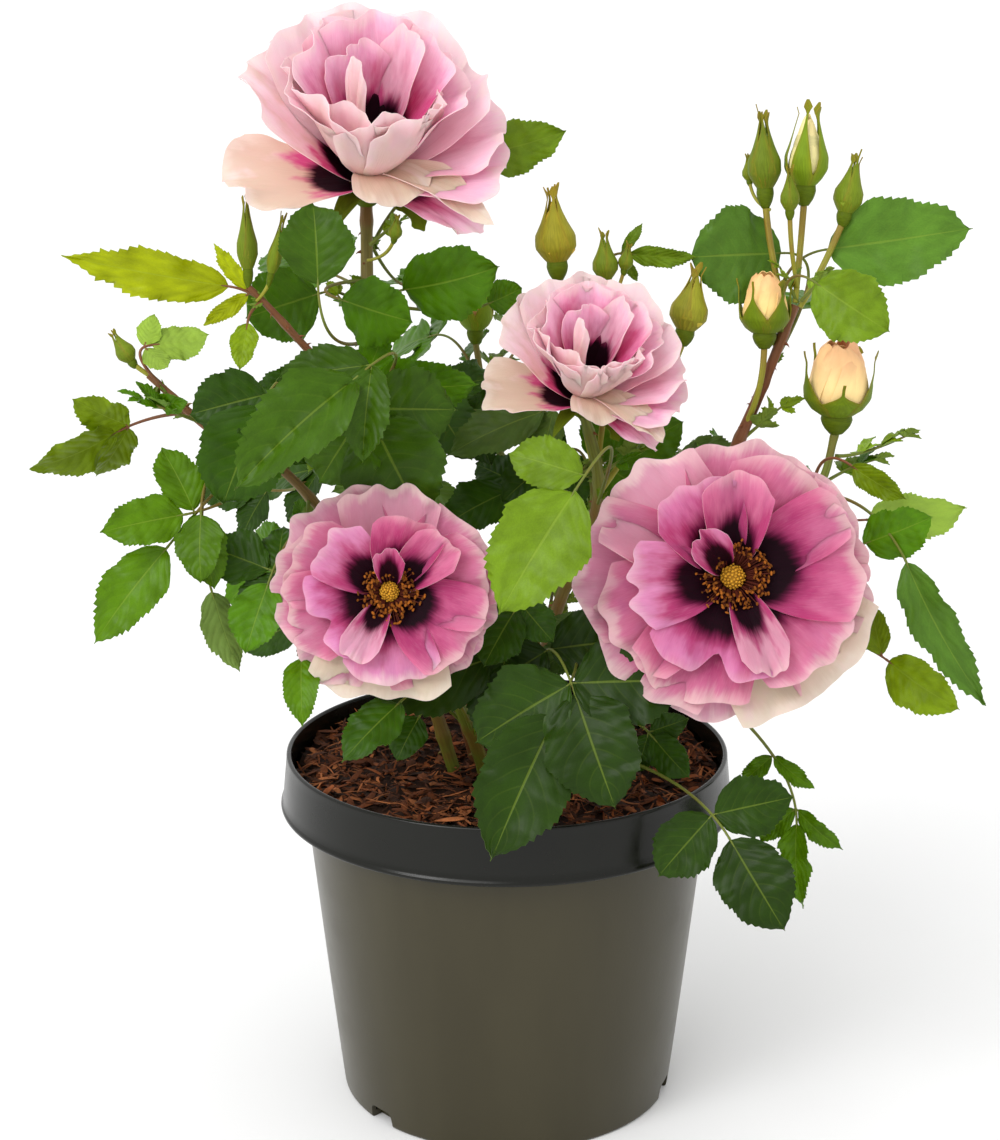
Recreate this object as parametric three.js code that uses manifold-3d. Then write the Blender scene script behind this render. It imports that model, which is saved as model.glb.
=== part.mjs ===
// A young shrub rose in a 3 litre nursery pot. Millimetres, +Z up, the origin in the middle of
// the pot's flat underside, the plant's fuller side towards -Y.

import * as THREE from "three";
import { mergeVertices } from "three/addons/utils/BufferGeometryUtils.js";
import Module from "manifold-3d";

const wasm = await Module();
wasm.setup();

// Driving dimensions.
const POT_HEIGHT = 155;
const POT_FOOT_RADIUS = 72.6;
const POT_BODY_TOP_RADIUS = 87;
const POT_BAND_HEIGHT = 24;
const POT_BAND_RADIUS = 98;
const POT_LIP_RADIUS = 95.2;
const POT_WALL = 2;
const POT_FLOOR = 3;
const POT_SEGMENTS = 30;
const DRAIN_COUNT = 3;
const DRAIN_WIDTH = 15;
const DRAIN_HEIGHT = 7;
const DRAIN_DEPTH = 12;
const DRAIN_FIRST_AZIMUTH = -138;
const SOIL_TOP = 146;
const CLEARANCE = 0.3;
const CUT_GROWTH = 0.45;
const CANE_SIDES = 5;
const STALK_SIDES = 3;
const STALK_STEPS = 2;
const STALK_RADIUS = 1.5;
const HEART_RADIUS = 10;
const RIM_GROWTH = 1.08;
const LEAF_PAD = 7;
const LEAF_DROOP = 0.1;

const degrees = (angle) => THREE.MathUtils.degToRad(angle);
const vector = (point) => new THREE.Vector3(...point);

// ---------------------------------------------------------------- solids

function solidOf(geometry) {
  geometry.deleteAttribute("normal");
  geometry.deleteAttribute("uv");
  const merged = mergeVertices(geometry, 1e-4);
  const vertProperties = new Float32Array(merged.attributes.position.array);
  const triVerts = new Uint32Array(merged.index.array);
  return new wasm.Manifold(new wasm.Mesh({ numProp: 3, vertProperties, triVerts }));
}

function geometryOf(solid) {
  const mesh = solid.getMesh();
  const geometry = new THREE.BufferGeometry();
  geometry.setAttribute("position", new THREE.BufferAttribute(mesh.vertProperties, 3));
  geometry.setIndex(new THREE.BufferAttribute(mesh.triVerts, 1));
  geometry.computeVertexNormals();
  return geometry;
}

function joined(solids) {
  return solids.reduce((sum, solid) => sum.add(solid));
}

// The largest connected body: crumbs that a cut leaves behind are dropped.
function largestBody(solid) {
  const bodies = solid.decompose();
  return bodies.reduce((best, body) => (body.volume() > best.volume() ? body : best));
}

// ---------------------------------------------------------------- pot and soil

function latheSolid(profile, segments) {
  const points = profile.map(([radius, height]) => new THREE.Vector2(radius, height));
  const geometry = new THREE.LatheGeometry(points, segments);
  geometry.rotateX(Math.PI / 2);
  return solidOf(geometry);
}

function drainNotch(azimuth) {
  const box = new THREE.BoxGeometry(DRAIN_DEPTH, DRAIN_WIDTH, DRAIN_HEIGHT * 2);
  box.translate(POT_FOOT_RADIUS, 0, 0);
  box.rotateZ(degrees(azimuth));
  return solidOf(box);
}

function potSolid() {
  const bandBottom = POT_HEIGHT - POT_BAND_HEIGHT;
  const profile = [
    [0, 0],
    [POT_FOOT_RADIUS - 1, 0],
    [POT_FOOT_RADIUS, 1.2],
    [POT_BODY_TOP_RADIUS, bandBottom - 0.4],
    [POT_BAND_RADIUS, bandBottom],
    [POT_LIP_RADIUS, POT_HEIGHT - 0.8],
    [POT_LIP_RADIUS - 1, POT_HEIGHT],
    [POT_LIP_RADIUS - 2.4, POT_HEIGHT],
    [POT_LIP_RADIUS - 3.8, bandBottom + 5],
    [POT_BODY_TOP_RADIUS - POT_WALL, bandBottom + 1],
    [POT_FOOT_RADIUS - POT_WALL, POT_FLOOR],
    [0, POT_FLOOR],
  ];
  let pot = latheSolid(profile, POT_SEGMENTS);
  for (let index = 0; index < DRAIN_COUNT; index += 1) {
    pot = pot.subtract(drainNotch(DRAIN_FIRST_AZIMUTH + (360 / DRAIN_COUNT) * index));
  }
  return pot;
}

function soilSolid() {
  const bandBottom = POT_HEIGHT - POT_BAND_HEIGHT;
  const gap = 0.6;
  const profile = [
    [0, POT_FLOOR + CLEARANCE],
    [POT_FOOT_RADIUS - POT_WALL - gap, POT_FLOOR + CLEARANCE],
    [POT_BODY_TOP_RADIUS - POT_WALL - gap, bandBottom + 1 + CLEARANCE],
    [POT_LIP_RADIUS - 4.8, bandBottom + 5 + CLEARANCE],
    [POT_LIP_RADIUS - 4.8, SOIL_TOP - 3],
    [POT_LIP_RADIUS - 35, SOIL_TOP],
    [0, SOIL_TOP],
  ];
  return latheSolid(profile, POT_SEGMENTS);
}

// ---------------------------------------------------------------- limbs

function polygon(radius, sides) {
  const corners = [];
  for (let index = 0; index < sides; index += 1) {
    const angle = (2 * Math.PI * index) / sides;
    corners.push(new THREE.Vector2(radius * Math.cos(angle), radius * Math.sin(angle)));
  }
  return new THREE.Shape(corners);
}

// A round limb along a path, drawn in from its foot radius to its tip radius.
function taperedLimb(path, footRadius, tipRadius, sides, steps) {
  const section = polygon(footRadius, sides);
  const options = { extrudePath: path, steps, bevelEnabled: false };
  const geometry = new THREE.ExtrudeGeometry(section, options);
  const rings = path.getSpacedPoints(steps);
  const position = geometry.attributes.position;
  const corner = new THREE.Vector3();
  for (let index = 0; index < position.count; index += 1) {
    corner.fromBufferAttribute(position, index);
    let ring = 0;
    rings.forEach((centre, at) => {
      if (centre.distanceTo(corner) < rings[ring].distanceTo(corner)) {
        ring = at;
      }
    });
    const radius = footRadius + (tipRadius - footRadius) * (ring / steps);
    corner.sub(rings[ring]).multiplyScalar(radius / footRadius).add(rings[ring]);
    position.setXYZ(index, corner.x, corner.y, corner.z);
  }
  return solidOf(geometry);
}

// ---------------------------------------------------------------- blooms

// Turns a solid of revolution from +Y to the way it faces, and sets it in its place.
function faceAlong(geometry, at, azimuth, elevation) {
  const facing = headingOf(azimuth, elevation);
  const turn = new THREE.Quaternion().setFromUnitVectors(new THREE.Vector3(0, 1, 0), facing);
  geometry.applyQuaternion(turn);
  geometry.translate(...at);
  return geometry;
}

// A ruffled cup of petals: share of the radius, share of the depth, from calyx to eye.
const BLOOM_PROFILE = [
  [0, -0.5], [0.3, -0.42], [0.78, -0.05], [1, 0.32], [0.86, 0.5], [0.4, 0.28], [0, 0.2],
];
const BLOOM_SEGMENTS = 12;
const BLOOMS = [
  { name: "bloom_top", at: [-55, -3, 421], radius: 54, depth: 76, facing: [-80, 60], ruffle: 0.04 },
  { name: "bloom_middle", at: [33, -30, 331], radius: 41, depth: 52, facing: [-78, 60], ruffle: 0.05 },
  { name: "bloom_right", at: [83, -86, 256], radius: 56, depth: 38, facing: [-88, 18], ruffle: 0.05 },
  { name: "bloom_left", at: [-47, -86, 250], radius: 43, depth: 34, facing: [-90, 18], ruffle: 0.06 },
];

function bloomSolid({ at, radius, depth, facing, ruffle }, grow) {
  const points = BLOOM_PROFILE.map(
    ([out, up]) => new THREE.Vector2(out && out * radius + grow, up * (depth + 2 * grow)),
  );
  const geometry = new THREE.LatheGeometry(points, BLOOM_SEGMENTS);
  const position = geometry.attributes.position;
  for (let index = 0; index < position.count; index += 1) {
    const angle = Math.atan2(position.getZ(index), position.getX(index));
    const wave = 1 + ruffle * Math.sin(5 * angle + at[0]);
    position.setX(index, position.getX(index) * wave);
    position.setZ(index, position.getZ(index) * wave);
  }
  return solidOf(faceAlong(geometry, at, ...facing));
}

// The foot of a bloom, a little inside it, where its cane ends.
function footOf(name) {
  const { at, depth, facing } = BLOOMS.find((bloom) => bloom.name === name);
  return vector(at).addScaledVector(headingOf(...facing), 2 - depth / 2).toArray();
}

// ---------------------------------------------------------------- canes and boughs

const through = (points) => new THREE.CatmullRomCurve3(points.map(vector), false, "centripetal");

// Canes and boughs: each tapers along a smooth path through a few places on it.
const FLOOR_CUT = SOIL_TOP + CLEARANCE;
const CANES = [
  {
    name: "cane_top_bloom",
    path: [[-10, 0, 140], [-30, 2, 215], [-51, 0, 285], [-57, 0, 325], footOf("bloom_top")],
    radii: [3.6, 2.5],
    steps: 8,
  },
  {
    name: "cane_right",
    path: [[16, 8, 140], [46, 12, 200], [80, 11, 250], [102, 11, 298], [120, 14, 345]],
    radii: [3.6, 2.0],
    steps: 8,
  },
  {
    name: "cane_left",
    path: [[-20, -8, 140], [-44, -18, 215], [-86, -28, 279], [-118, -30, 300], [-144, -30, 324]],
    radii: [3.0, 1.5],
    steps: 8,
  },
  {
    name: "cane_middle_bloom",
    path: [[5, 8, 140], [20, 6, 210], [38, -2, 265], footOf("bloom_middle")],
    radii: [3.2, 2.2],
    steps: 6,
  },
  {
    name: "cane_right_bloom",
    path: [[12, -8, 140], [32, -26, 185], [62, -48, 222], footOf("bloom_right")],
    radii: [3.2, 2.4],
    steps: 6,
  },
  {
    name: "cane_left_bloom",
    path: [[-6, -12, 140], [-20, -34, 185], [-40, -56, 222], footOf("bloom_left")],
    radii: [3.0, 2.3],
    steps: 6,
  },
  {
    name: "bough_upper_left",
    path: [[-54, 0, 300], [-73, -9, 321], [-97, -17, 350], [-104, -20, 357]],
    radii: [2.2, 1.5],
    steps: 5,
  },
  {
    name: "bough_far_right",
    path: [[78, 11, 247], [105, 4, 257], [129, -5, 271], [137, -1, 294]],
    radii: [2.3, 1.6],
    steps: 5,
  },
  {
    name: "bough_back",
    path: [[24, 6, 215], [14, 34, 245], [-6, 62, 278], [-14, 74, 318]],
    radii: [2.4, 1.4],
    steps: 5,
  },
];

// ---------------------------------------------------------------- buds

// A closed bud, pointed at its tip: share of the radius, share of the length.
const BUD_PROFILE = [[0, 0], [0.7, 0.08], [1, 0.38], [0.5, 0.75], [0, 1]];
const BUD_SEGMENTS = 6;
// Each bud: where its stem starts, what the stem bends towards, its foot, length and radius.
const bud = (name, from, by, at, length, radius) => ({ name, from, by, at, length, radius });
const BUDS = [
  bud("bud_upper_right_a", [116, 13, 341], [109, 17, 366], [107, 19, 385], 41, 7),
  bud("bud_upper_right_b", [120, 14, 346], [122, 19, 366], [123, 20, 386], 42, 10),
  bud("bud_upper_right_c", [121, 15, 352], [117, 10, 366], [116, 9, 381], 22, 4),
  bud("bud_upper_right_d", [122, 14, 344], [132, 17, 360], [139, 20, 377], 29, 7),
  bud("bud_yellow_left", [100, 11, 294], [107, 4, 310], [107, 8, 328], 32, 10),
  bud("bud_yellow_right", [137, -1, 294], [137, -1, 293], [137, -1, 294], 42, 13),
  bud("bud_middle_tall", [35, -8, 284], [26, 2, 325], [21, 5, 357], 39, 8),
  bud("bud_middle_small", [37, -6, 278], [44, 8, 322], [41, 10, 352], 25, 5),
  bud("bud_middle_right", [38, -4, 268], [62, 4, 300], [73, 9, 329], 28, 8),
  bud("bud_upper_left", [-104, -20, 357], [-104, -20, 358], [-104, -20, 358], 34, 8),
  bud("bud_far_left", [-144, -30, 324], [-147, -30, 326], [-149, -30, 327], 16, 5),
  bud("bud_back", [-14, 74, 318], [-14, 74, 317], [-14, 74, 318], 33, 8),
];

function budSolid({ from, by, at, length, radius }, grow) {
  const points = BUD_PROFILE.map(
    ([out, up]) => new THREE.Vector2(out && out * radius + grow, up * (length + 2 * grow) - grow),
  );
  const geometry = new THREE.LatheGeometry(points, BUD_SEGMENTS);
  const lean = vector(at).sub(vector(by)).normalize().add(new THREE.Vector3(0, 0, 1)).normalize();
  const turn = new THREE.Quaternion().setFromUnitVectors(new THREE.Vector3(0, 1, 0), lean);
  geometry.applyQuaternion(turn);
  geometry.translate(...at);
  const body = solidOf(geometry);
  if (vector(from).distanceTo(vector(at)) < radius) {
    return body;
  }
  const end = vector(at).addScaledVector(lean, 2);
  const curve = new THREE.QuadraticBezierCurve3(vector(from), vector(by), end);
  const thick = STALK_RADIUS + grow;
  return body.add(taperedLimb(curve, thick, thick, STALK_SIDES, STALK_STEPS));
}

// ---------------------------------------------------------------- leaves

function headingOf(azimuth, elevation) {
  const out = Math.cos(degrees(elevation));
  const across = Math.sin(degrees(azimuth));
  return new THREE.Vector3(out * Math.cos(degrees(azimuth)), out * across, Math.sin(degrees(elevation)));
}

// One compound leaf: where its end leaflet starts, the way it points, how far its blade is
// turned about that way, the end leaflet's length, and what else differs from the usual leaf.
const USUAL_LEAF = { wide: 0.7, leaflets: 3, spread: 65, pair: 0.75 };
const leaf = (at, azimuth, elevation, turn, long, more = {}) => ({
  ...USUAL_LEAF, at, azimuth, elevation, turn, long, ...more,
});

function leafAxes({ azimuth, elevation, turn }) {
  const heading = headingOf(azimuth, elevation);
  const up = new THREE.Vector3(0, 0, 1);
  const level = up.addScaledVector(heading, -heading.z).normalize();
  const normal = level.applyAxisAngle(heading, degrees(turn));
  const side = new THREE.Vector3().crossVectors(normal, heading);
  return { heading, normal, side };
}

// A pad in a leaf's plane, thick at its middle and thin at its rim. The rim lists its corners
// round the middle, each an angle from the leaf's heading and a distance.
function padSolid(middle, { heading, normal, side }, rim, grow) {
  const thickness = LEAF_PAD / 2 + grow;
  const profile = [[0, -1], [1, 0], [0, 1]].map(([out, up]) => new THREE.Vector2(out, up));
  const geometry = new THREE.LatheGeometry(profile, rim.length);
  const position = geometry.attributes.position;
  const corner = new THREE.Vector3();
  for (let index = 0; index < position.count; index += 1) {
    const [angle, distance] = rim[Math.floor(index / profile.length) % rim.length];
    const onRim = index % profile.length === 1;
    const reach = onRim ? distance * (grow > 0 ? RIM_GROWTH : 1) : 0;
    const droop = LEAF_DROOP * reach * (0.5 + 0.5 * Math.cos(degrees(angle)));
    corner.copy(middle);
    corner.addScaledVector(heading, reach * Math.cos(degrees(angle)));
    corner.addScaledVector(side, reach * Math.sin(degrees(angle)));
    corner.addScaledVector(normal, onRim ? -droop : position.getY(index) * thickness);
    position.setXYZ(index, corner.x, corner.y, corner.z);
  }
  return solidOf(geometry);
}

// Half a rim, from the heading round to the back, mirrored into a whole one.
function mirrored(half) {
  const back = half.slice(1, -1).reverse();
  return [...half, ...back.map(([angle, distance]) => [360 - angle, distance])];
}

// One blade about its own middle: an oval, drawn out to a point at its tip.
function bladeRim({ long, wide }) {
  const oval = (angle) => {
    const ahead = Math.cos(degrees(angle)) / 0.5;
    const aside = Math.sin(degrees(angle)) / (wide / 2);
    return long / Math.hypot(ahead, aside);
  };
  const flanks = [35, 90, 145].map((angle) => [angle, oval(angle)]);
  return mirrored([[0, long * 0.54], ...flanks, [180, long * 0.48]]);
}

// Three blades about the point they spread from.
function trefoilRim({ long, wide, spread, pair }) {
  const blade = long * pair;
  const flare = THREE.MathUtils.radToDeg(Math.atan(wide));
  const shoulder = 0.5 * Math.hypot(1, wide);
  return mirrored([
    [0, long],
    [Math.min(flare, spread * 0.4), long * shoulder],
    [Math.max(spread - flare, spread * 0.6), blade * shoulder],
    [spread, blade],
    [Math.min(spread + flare, 170), blade * shoulder],
    [180, blade * 0.2],
  ]);
}

// A further pair of blades, lower on the stalk.
function pairRim({ long, wide, spread, pair }) {
  const blade = long * pair * 0.85;
  const flare = THREE.MathUtils.radToDeg(Math.atan(wide));
  const shoulder = 0.5 * Math.hypot(1, wide);
  return mirrored([
    [0, blade * 0.25],
    [spread - flare, blade * shoulder],
    [spread, blade],
    [spread + flare, blade * shoulder],
    [180, blade * 0.2],
  ]);
}

// A leaf's stalk: it leaves the root towards the leaf and ends just inside the blade.
function stalkCurve(row, root) {
  const { heading } = leafAxes(row);
  const base = vector(row.at);
  const lead = Math.min(base.distanceTo(root) * 0.5, row.long * 0.9);
  const bend = base.clone().addScaledVector(heading, -lead);
  const end = base.clone().addScaledVector(heading, row.long * 0.15);
  return new THREE.QuadraticBezierCurve3(root, bend, end);
}

function bladeSolids(row, root, grow) {
  const axes = leafAxes(row);
  const base = vector(row.at);
  if (row.leaflets === 1) {
    const middle = base.addScaledVector(axes.heading, row.long * 0.48);
    return [padSolid(middle, axes, bladeRim(row), grow)];
  }
  const solids = [padSolid(base, axes, trefoilRim(row), grow)];
  if (row.leaflets === 5) {
    const [, knee, end] = stalkCurve(row, root).getSpacedPoints(STALK_STEPS);
    const middle = end.lerp(knee, (0.75 * row.long) / end.distanceTo(knee));
    solids.push(padSolid(middle, axes, pairRim(row), grow));
  }
  return solids;
}

function onCane(name, share) {
  const { path } = CANES.find((cane) => cane.name === name);
  return through(path).getPointAt(share).toArray();
}

// Foliage masses: each grows from a root on a cane, round which its leaf stalks start.
const MASSES = [
  {
    name: "foliage_far_left",
    root: onCane("cane_left", 0.94),
    leaves: [
      leaf([-157, -30, 301], -154, -22, -122, 37, { wide: 0.6, spread: 50 }),
      leaf([-143, -30, 336], 25, 3, -136, 23, { pair: 0.6 }),
      leaf([-140, -36, 314], -40, 5, 108, 15, { wide: 0.6, leaflets: 1 }),
    ],
  },
  {
    name: "foliage_upper_left",
    root: onCane("bough_upper_left", 0.87),
    leaves: [
      leaf([-111, -20, 358], -171, 11, -102, 65, { wide: 0.3, spread: 45, pair: 0.35 }),
      leaf([-104, -26, 345], -100, -50, 0, 24, { wide: 0.6, leaflets: 1 }),
    ],
  },
  {
    name: "foliage_under_top_bloom",
    root: onCane("cane_top_bloom", 0.81),
    leaves: [
      leaf([-74, -25, 365], 110, 71, 0, 33, { wide: 0.9, leaflets: 1 }),
      leaf([-76, 5, 349], -152, -17, -64, 34, { wide: 0.95, pair: 0.6 }),
      leaf([-80, 40, 356], 140, 8, -30, 36),
    ],
  },
  {
    name: "foliage_upper_middle",
    root: onCane("cane_top_bloom", 0.87),
    leaves: [
      leaf([-43, -10, 355], -15, 13, 105, 40, { wide: 0.8, spread: 80, pair: 0.8 }),
      leaf([-9, -4, 348], 0, 24, 92, 15, { wide: 0.95, leaflets: 1 }),
      leaf([-18, 28, 396], -8, 14, 106, 37, { wide: 0.55, pair: 0.5 }),
      leaf([-40, 40, 350], 70, 5, 0, 34),
    ],
  },
  {
    name: "foliage_middle_left",
    root: onCane("cane_top_bloom", 0.69),
    leaves: [
      leaf([-97, -45, 315], -136, -59, -41, 41, { wide: 0.85, spread: 55 }),
      leaf([-58, -70, 331], -151, -34, -46, 62, { wide: 0.5, spread: 40, pair: 0.6 }),
      leaf([-76, 0, 316], 180, -15, -70, 32, { wide: 0.6, leaflets: 1 }),
      leaf([-69, -40, 312], -136, -57, -20, 26, { wide: 0.5, leaflets: 1 }),
    ],
  },
  {
    name: "foliage_middle",
    root: onCane("cane_top_bloom", 0.62),
    leaves: [
      leaf([-55, -20, 317], -14, 3, 99, 42, { wide: 0.62, pair: 0.6 }),
      leaf([-54, -50, 311], -38, -56, 58, 43, { wide: 0.95, pair: 0.8 }),
      leaf([-16, 34, 296], 20, 0, 60, 34),
    ],
  },
  {
    name: "foliage_left",
    root: onCane("cane_left", 0.79),
    leaves: [
      leaf([-127, -60, 274], -153, -4, -59, 33, { wide: 0.6, spread: 85, pair: 0.95 }),
      leaf([-134, -65, 262], -152, -46, -51, 46, { wide: 0.55, leaflets: 1 }),
      leaf([-121, -60, 275], -89, -57, 13, 27, { leaflets: 1 }),
      leaf([-118, -60, 243], -45, -65, -164, 33, { wide: 0.5, leaflets: 1 }),
    ],
  },
  {
    name: "foliage_left_inner",
    root: onCane("cane_left", 0.63),
    leaves: [
      leaf([-94, -60, 251], 160, 15, -47, 30, { wide: 0.75, spread: 70 }),
      leaf([-94, -70, 249], -119, -53, -19, 28, { wide: 0.75, leaflets: 1 }),
      leaf([-81, -80, 222], -87, -45, 8, 28, { wide: 0.5, leaflets: 1 }),
      leaf([-104, 5, 268], 160, 0, -60, 30),
    ],
  },
  {
    name: "foliage_centre",
    root: onCane("cane_middle_bloom", 0.75),
    leaves: [
      leaf([16, 10, 301], -166, -19, -44, 44, { wide: 0.5, spread: 55, pair: 0.6 }),
      leaf([23, 20, 280], 180, -38, -59, 32),
      leaf([27, -86, 290], -146, -50, -43, 56, { wide: 0.72, spread: 80, pair: 0.5 }),
      leaf([44, 20, 278], 0, 27, 87, 33, { wide: 0.8, spread: 60 }),
    ],
  },
  {
    name: "foliage_low_front",
    root: onCane("cane_middle_bloom", 0.2),
    leaves: [
      leaf([26, -85, 209], -60, -52, 36, 47, { wide: 0.78, leaflets: 5, spread: 75, pair: 0.95 }),
      leaf([19, -86, 199], -131, -50, -28, 60, { wide: 0.6, leaflets: 1 }),
      leaf([4, -60, 236], -140, -49, -28, 26, { wide: 0.8 }),
      leaf([34, -40, 216], -152, -20, -41, 24),
    ],
  },
  {
    name: "foliage_low_left",
    root: onCane("cane_left_bloom", 0.24),
    leaves: [
      leaf([-5, -70, 219], -148, -18, -46, 50, { wide: 0.62, spread: 60 }),
      leaf([-42, -80, 203], -137, -28, -31, 33, { wide: 0.6, leaflets: 1 }),
      leaf([-36, -40, 183], -129, -44, -20, 20, { wide: 0.8, leaflets: 1 }),
    ],
  },
  {
    name: "foliage_side_left",
    root: onCane("cane_left", 0.4),
    leaves: [
      leaf([-82, -4, 214], 175, -10, -50, 34),
      leaf([-70, 36, 218], 140, -10, -20, 34),
    ],
  },
  {
    name: "foliage_low_right",
    root: onCane("cane_right_bloom", 0.2),
    leaves: [
      leaf([81, -90, 156], -42, -39, 55, 48, { wide: 0.8, spread: 95, pair: 0.9 }),
      leaf([59, -50, 178], -40, -37, 71, 22),
    ],
  },
  {
    name: "foliage_trailing",
    root: onCane("cane_right_bloom", 0.66),
    leaves: [
      leaf([121, -42, 137], -84, -80, 44, 34, { wide: 0.42, leaflets: 5, spread: 60, pair: 0.62 }),
    ],
  },
  {
    name: "foliage_right",
    root: onCane("bough_far_right", 0.64),
    leaves: [
      leaf([147, -30, 264], 14, 1, -136, 41, { wide: 0.55, leaflets: 1 }),
      leaf([142, -50, 259], -23, 26, 102, 29, { wide: 0.75, leaflets: 1 }),
      leaf([157, -60, 254], -35, -58, 86, 65, { wide: 0.38, leaflets: 1 }),
      leaf([139, -30, 287], -27, -28, 90, 25, { wide: 0.5, leaflets: 1 }),
      leaf([144, -20, 227], 0, -80, 117, 24, { wide: 0.5, leaflets: 1 }),
    ],
  },
  {
    name: "foliage_right_low",
    root: onCane("cane_right", 0.4),
    leaves: [
      leaf([156, -40, 209], -37, -26, 82, 37, { wide: 0.65, spread: 50, pair: 0.6 }),
      leaf([110, 40, 214], 25, -5, 70, 34),
    ],
  },
  {
    name: "foliage_upper_right",
    root: onCane("cane_right", 0.92),
    leaves: [
      leaf([116, 26, 360], -165, 0, -76, 39, { wide: 1, leaflets: 1 }),
      leaf([133, 22, 361], 0, 8, 86, 60, { wide: 0.58, leaflets: 1 }),
      leaf([126, -12, 355], -52, -36, 68, 32, { wide: 0.85, leaflets: 1 }),
      leaf([126, 50, 338], 70, 5, 0, 32),
    ],
  },
  {
    name: "foliage_middle_top",
    root: [41, 9, 332],
    leaves: [
      leaf([50, 18, 366], -10, -4, 102, 28, { wide: 0.32, spread: 60, pair: 0.5 }),
    ],
  },
  {
    name: "foliage_back_upper",
    root: onCane("bough_back", 0.72),
    leaves: [
      leaf([-34, 92, 318], 130, 5, -20, 38),
      leaf([10, 96, 312], 60, 10, 10, 38),
      leaf([-6, 110, 284], 95, -25, 0, 40),
    ],
  },
  {
    name: "foliage_back_right",
    root: onCane("cane_right", 0.63),
    leaves: [
      leaf([110, 70, 286], 50, 5, 20, 40),
      leaf([76, 88, 262], 85, -15, 0, 40),
      leaf([128, 48, 250], 20, -15, 30, 36),
    ],
  },
  {
    name: "foliage_back_left",
    root: onCane("cane_top_bloom", 0.41),
    leaves: [
      leaf([-84, 52, 262], 150, 5, -20, 38),
      leaf([-48, 82, 248], 110, -10, 0, 40),
      leaf([-98, 28, 228], 170, -20, -30, 34),
    ],
  },
  {
    name: "foliage_back_low",
    root: onCane("cane_middle_bloom", 0.3),
    leaves: [
      leaf([30, 78, 212], 75, -15, 10, 40),
      leaf([-18, 74, 196], 110, -20, -10, 38),
      leaf([72, 60, 188], 40, -20, 20, 38),
    ],
  },
];

// A mass's stalks and the knot of small growth that they start from.
function stalksSolid({ root, leaves }, grow) {
  const heart = new THREE.OctahedronGeometry(HEART_RADIUS + grow, 0);
  heart.translate(...root);
  const radius = STALK_RADIUS + grow;
  const stalks = leaves.map((row) =>
    taperedLimb(stalkCurve(row, vector(root)), radius, radius, STALK_SIDES, STALK_STEPS),
  );
  return joined([solidOf(heart), ...stalks]);
}

function bladesSolid({ root, leaves }, grow) {
  return joined(leaves.flatMap((row) => bladeSolids(row, vector(root), grow)));
}

// ---------------------------------------------------------------- assembly

const MATERIALS = {
  pot: new THREE.MeshStandardMaterial({ color: 0x3c3c34, roughness: 0.45, metalness: 0 }),
  soil: new THREE.MeshStandardMaterial({ color: 0x5f3620, roughness: 1, metalness: 0 }),
  cane: new THREE.MeshStandardMaterial({ color: 0x7a5a38, roughness: 0.7, metalness: 0 }),
  bloom: new THREE.MeshStandardMaterial({ color: 0xd79ac0, roughness: 0.75, metalness: 0 }),
  bud: new THREE.MeshStandardMaterial({ color: 0x9aa860, roughness: 0.7, metalness: 0 }),
  leaf: new THREE.MeshStandardMaterial({ color: 0x4c7a2c, roughness: 0.65, metalness: 0 }),
};

const rose = new THREE.Group();
const grownPieces = [];

function addNode(name, material, solid) {
  const mesh = new THREE.Mesh(geometryOf(largestBody(solid)), MATERIALS[material].clone());
  mesh.name = name;
  rose.add(mesh);
}

const cutClear = (solid, others) => others.reduce((rest, other) => rest.subtract(other), solid);

// Adds a piece trimmed clear of every earlier piece, and keeps its grown shape for later cuts.
function place(name, material, makeSolid) {
  addNode(name, material, cutClear(makeSolid(0), grownPieces));
  grownPieces.push(makeSolid(CUT_GROWTH));
}

function placePotAndSoil() {
  for (const [name, solid] of [["pot", potSolid()], ["soil", soilSolid()]]) {
    addNode(name, name, solid);
    grownPieces.push(solid);
  }
}

function placeCane({ name, path, radii, steps }) {
  const slab = new THREE.BoxGeometry(400, 400, 100);
  slab.translate(0, 0, FLOOR_CUT - 50);
  const ground = solidOf(slab);
  const curve = through(path);
  place(name, "cane", (grow) =>
    taperedLimb(curve, radii[0] + grow, radii[1] + grow, CANE_SIDES, steps).subtract(ground),
  );
}

// Every mass keeps its stalks whole; its blades give way to other masses' stalks.
function placeMasses() {
  const rigidPieces = [...grownPieces];
  const grownStalks = MASSES.map((mass) => stalksSolid(mass, CUT_GROWTH));
  MASSES.forEach((mass, index) => {
    const stalks = cutClear(stalksSolid(mass, 0), [...rigidPieces, ...grownStalks.slice(0, index)]);
    const otherStalks = grownStalks.filter((_, other) => other !== index);
    const blades = cutClear(bladesSolid(mass, 0), [...grownPieces, ...otherStalks]);
    addNode(mass.name, "leaf", stalks.add(blades));
    grownPieces.push(bladesSolid(mass, CUT_GROWTH));
  });
}

placePotAndSoil();
CANES.forEach(placeCane);
BLOOMS.forEach((bloom) => place(bloom.name, "bloom", (grow) => bloomSolid(bloom, grow)));
BUDS.forEach((row) => place(row.name, "bud", (grow) => budSolid(row, grow)));
placeMasses();

export default rose;
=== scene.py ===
"""Looks of a young shrub rose in a nursery pot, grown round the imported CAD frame.

Everything is in the frame's own metres. The plant's tables are in millimetres, as gardeners measure
leaves and blooms, and MM brings them into the frame. Each part of the plant is a thin closed mesh:
petals, leaflets and sepals are shells, and canes, stalks and stamens are tubes.
"""

import math

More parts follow.
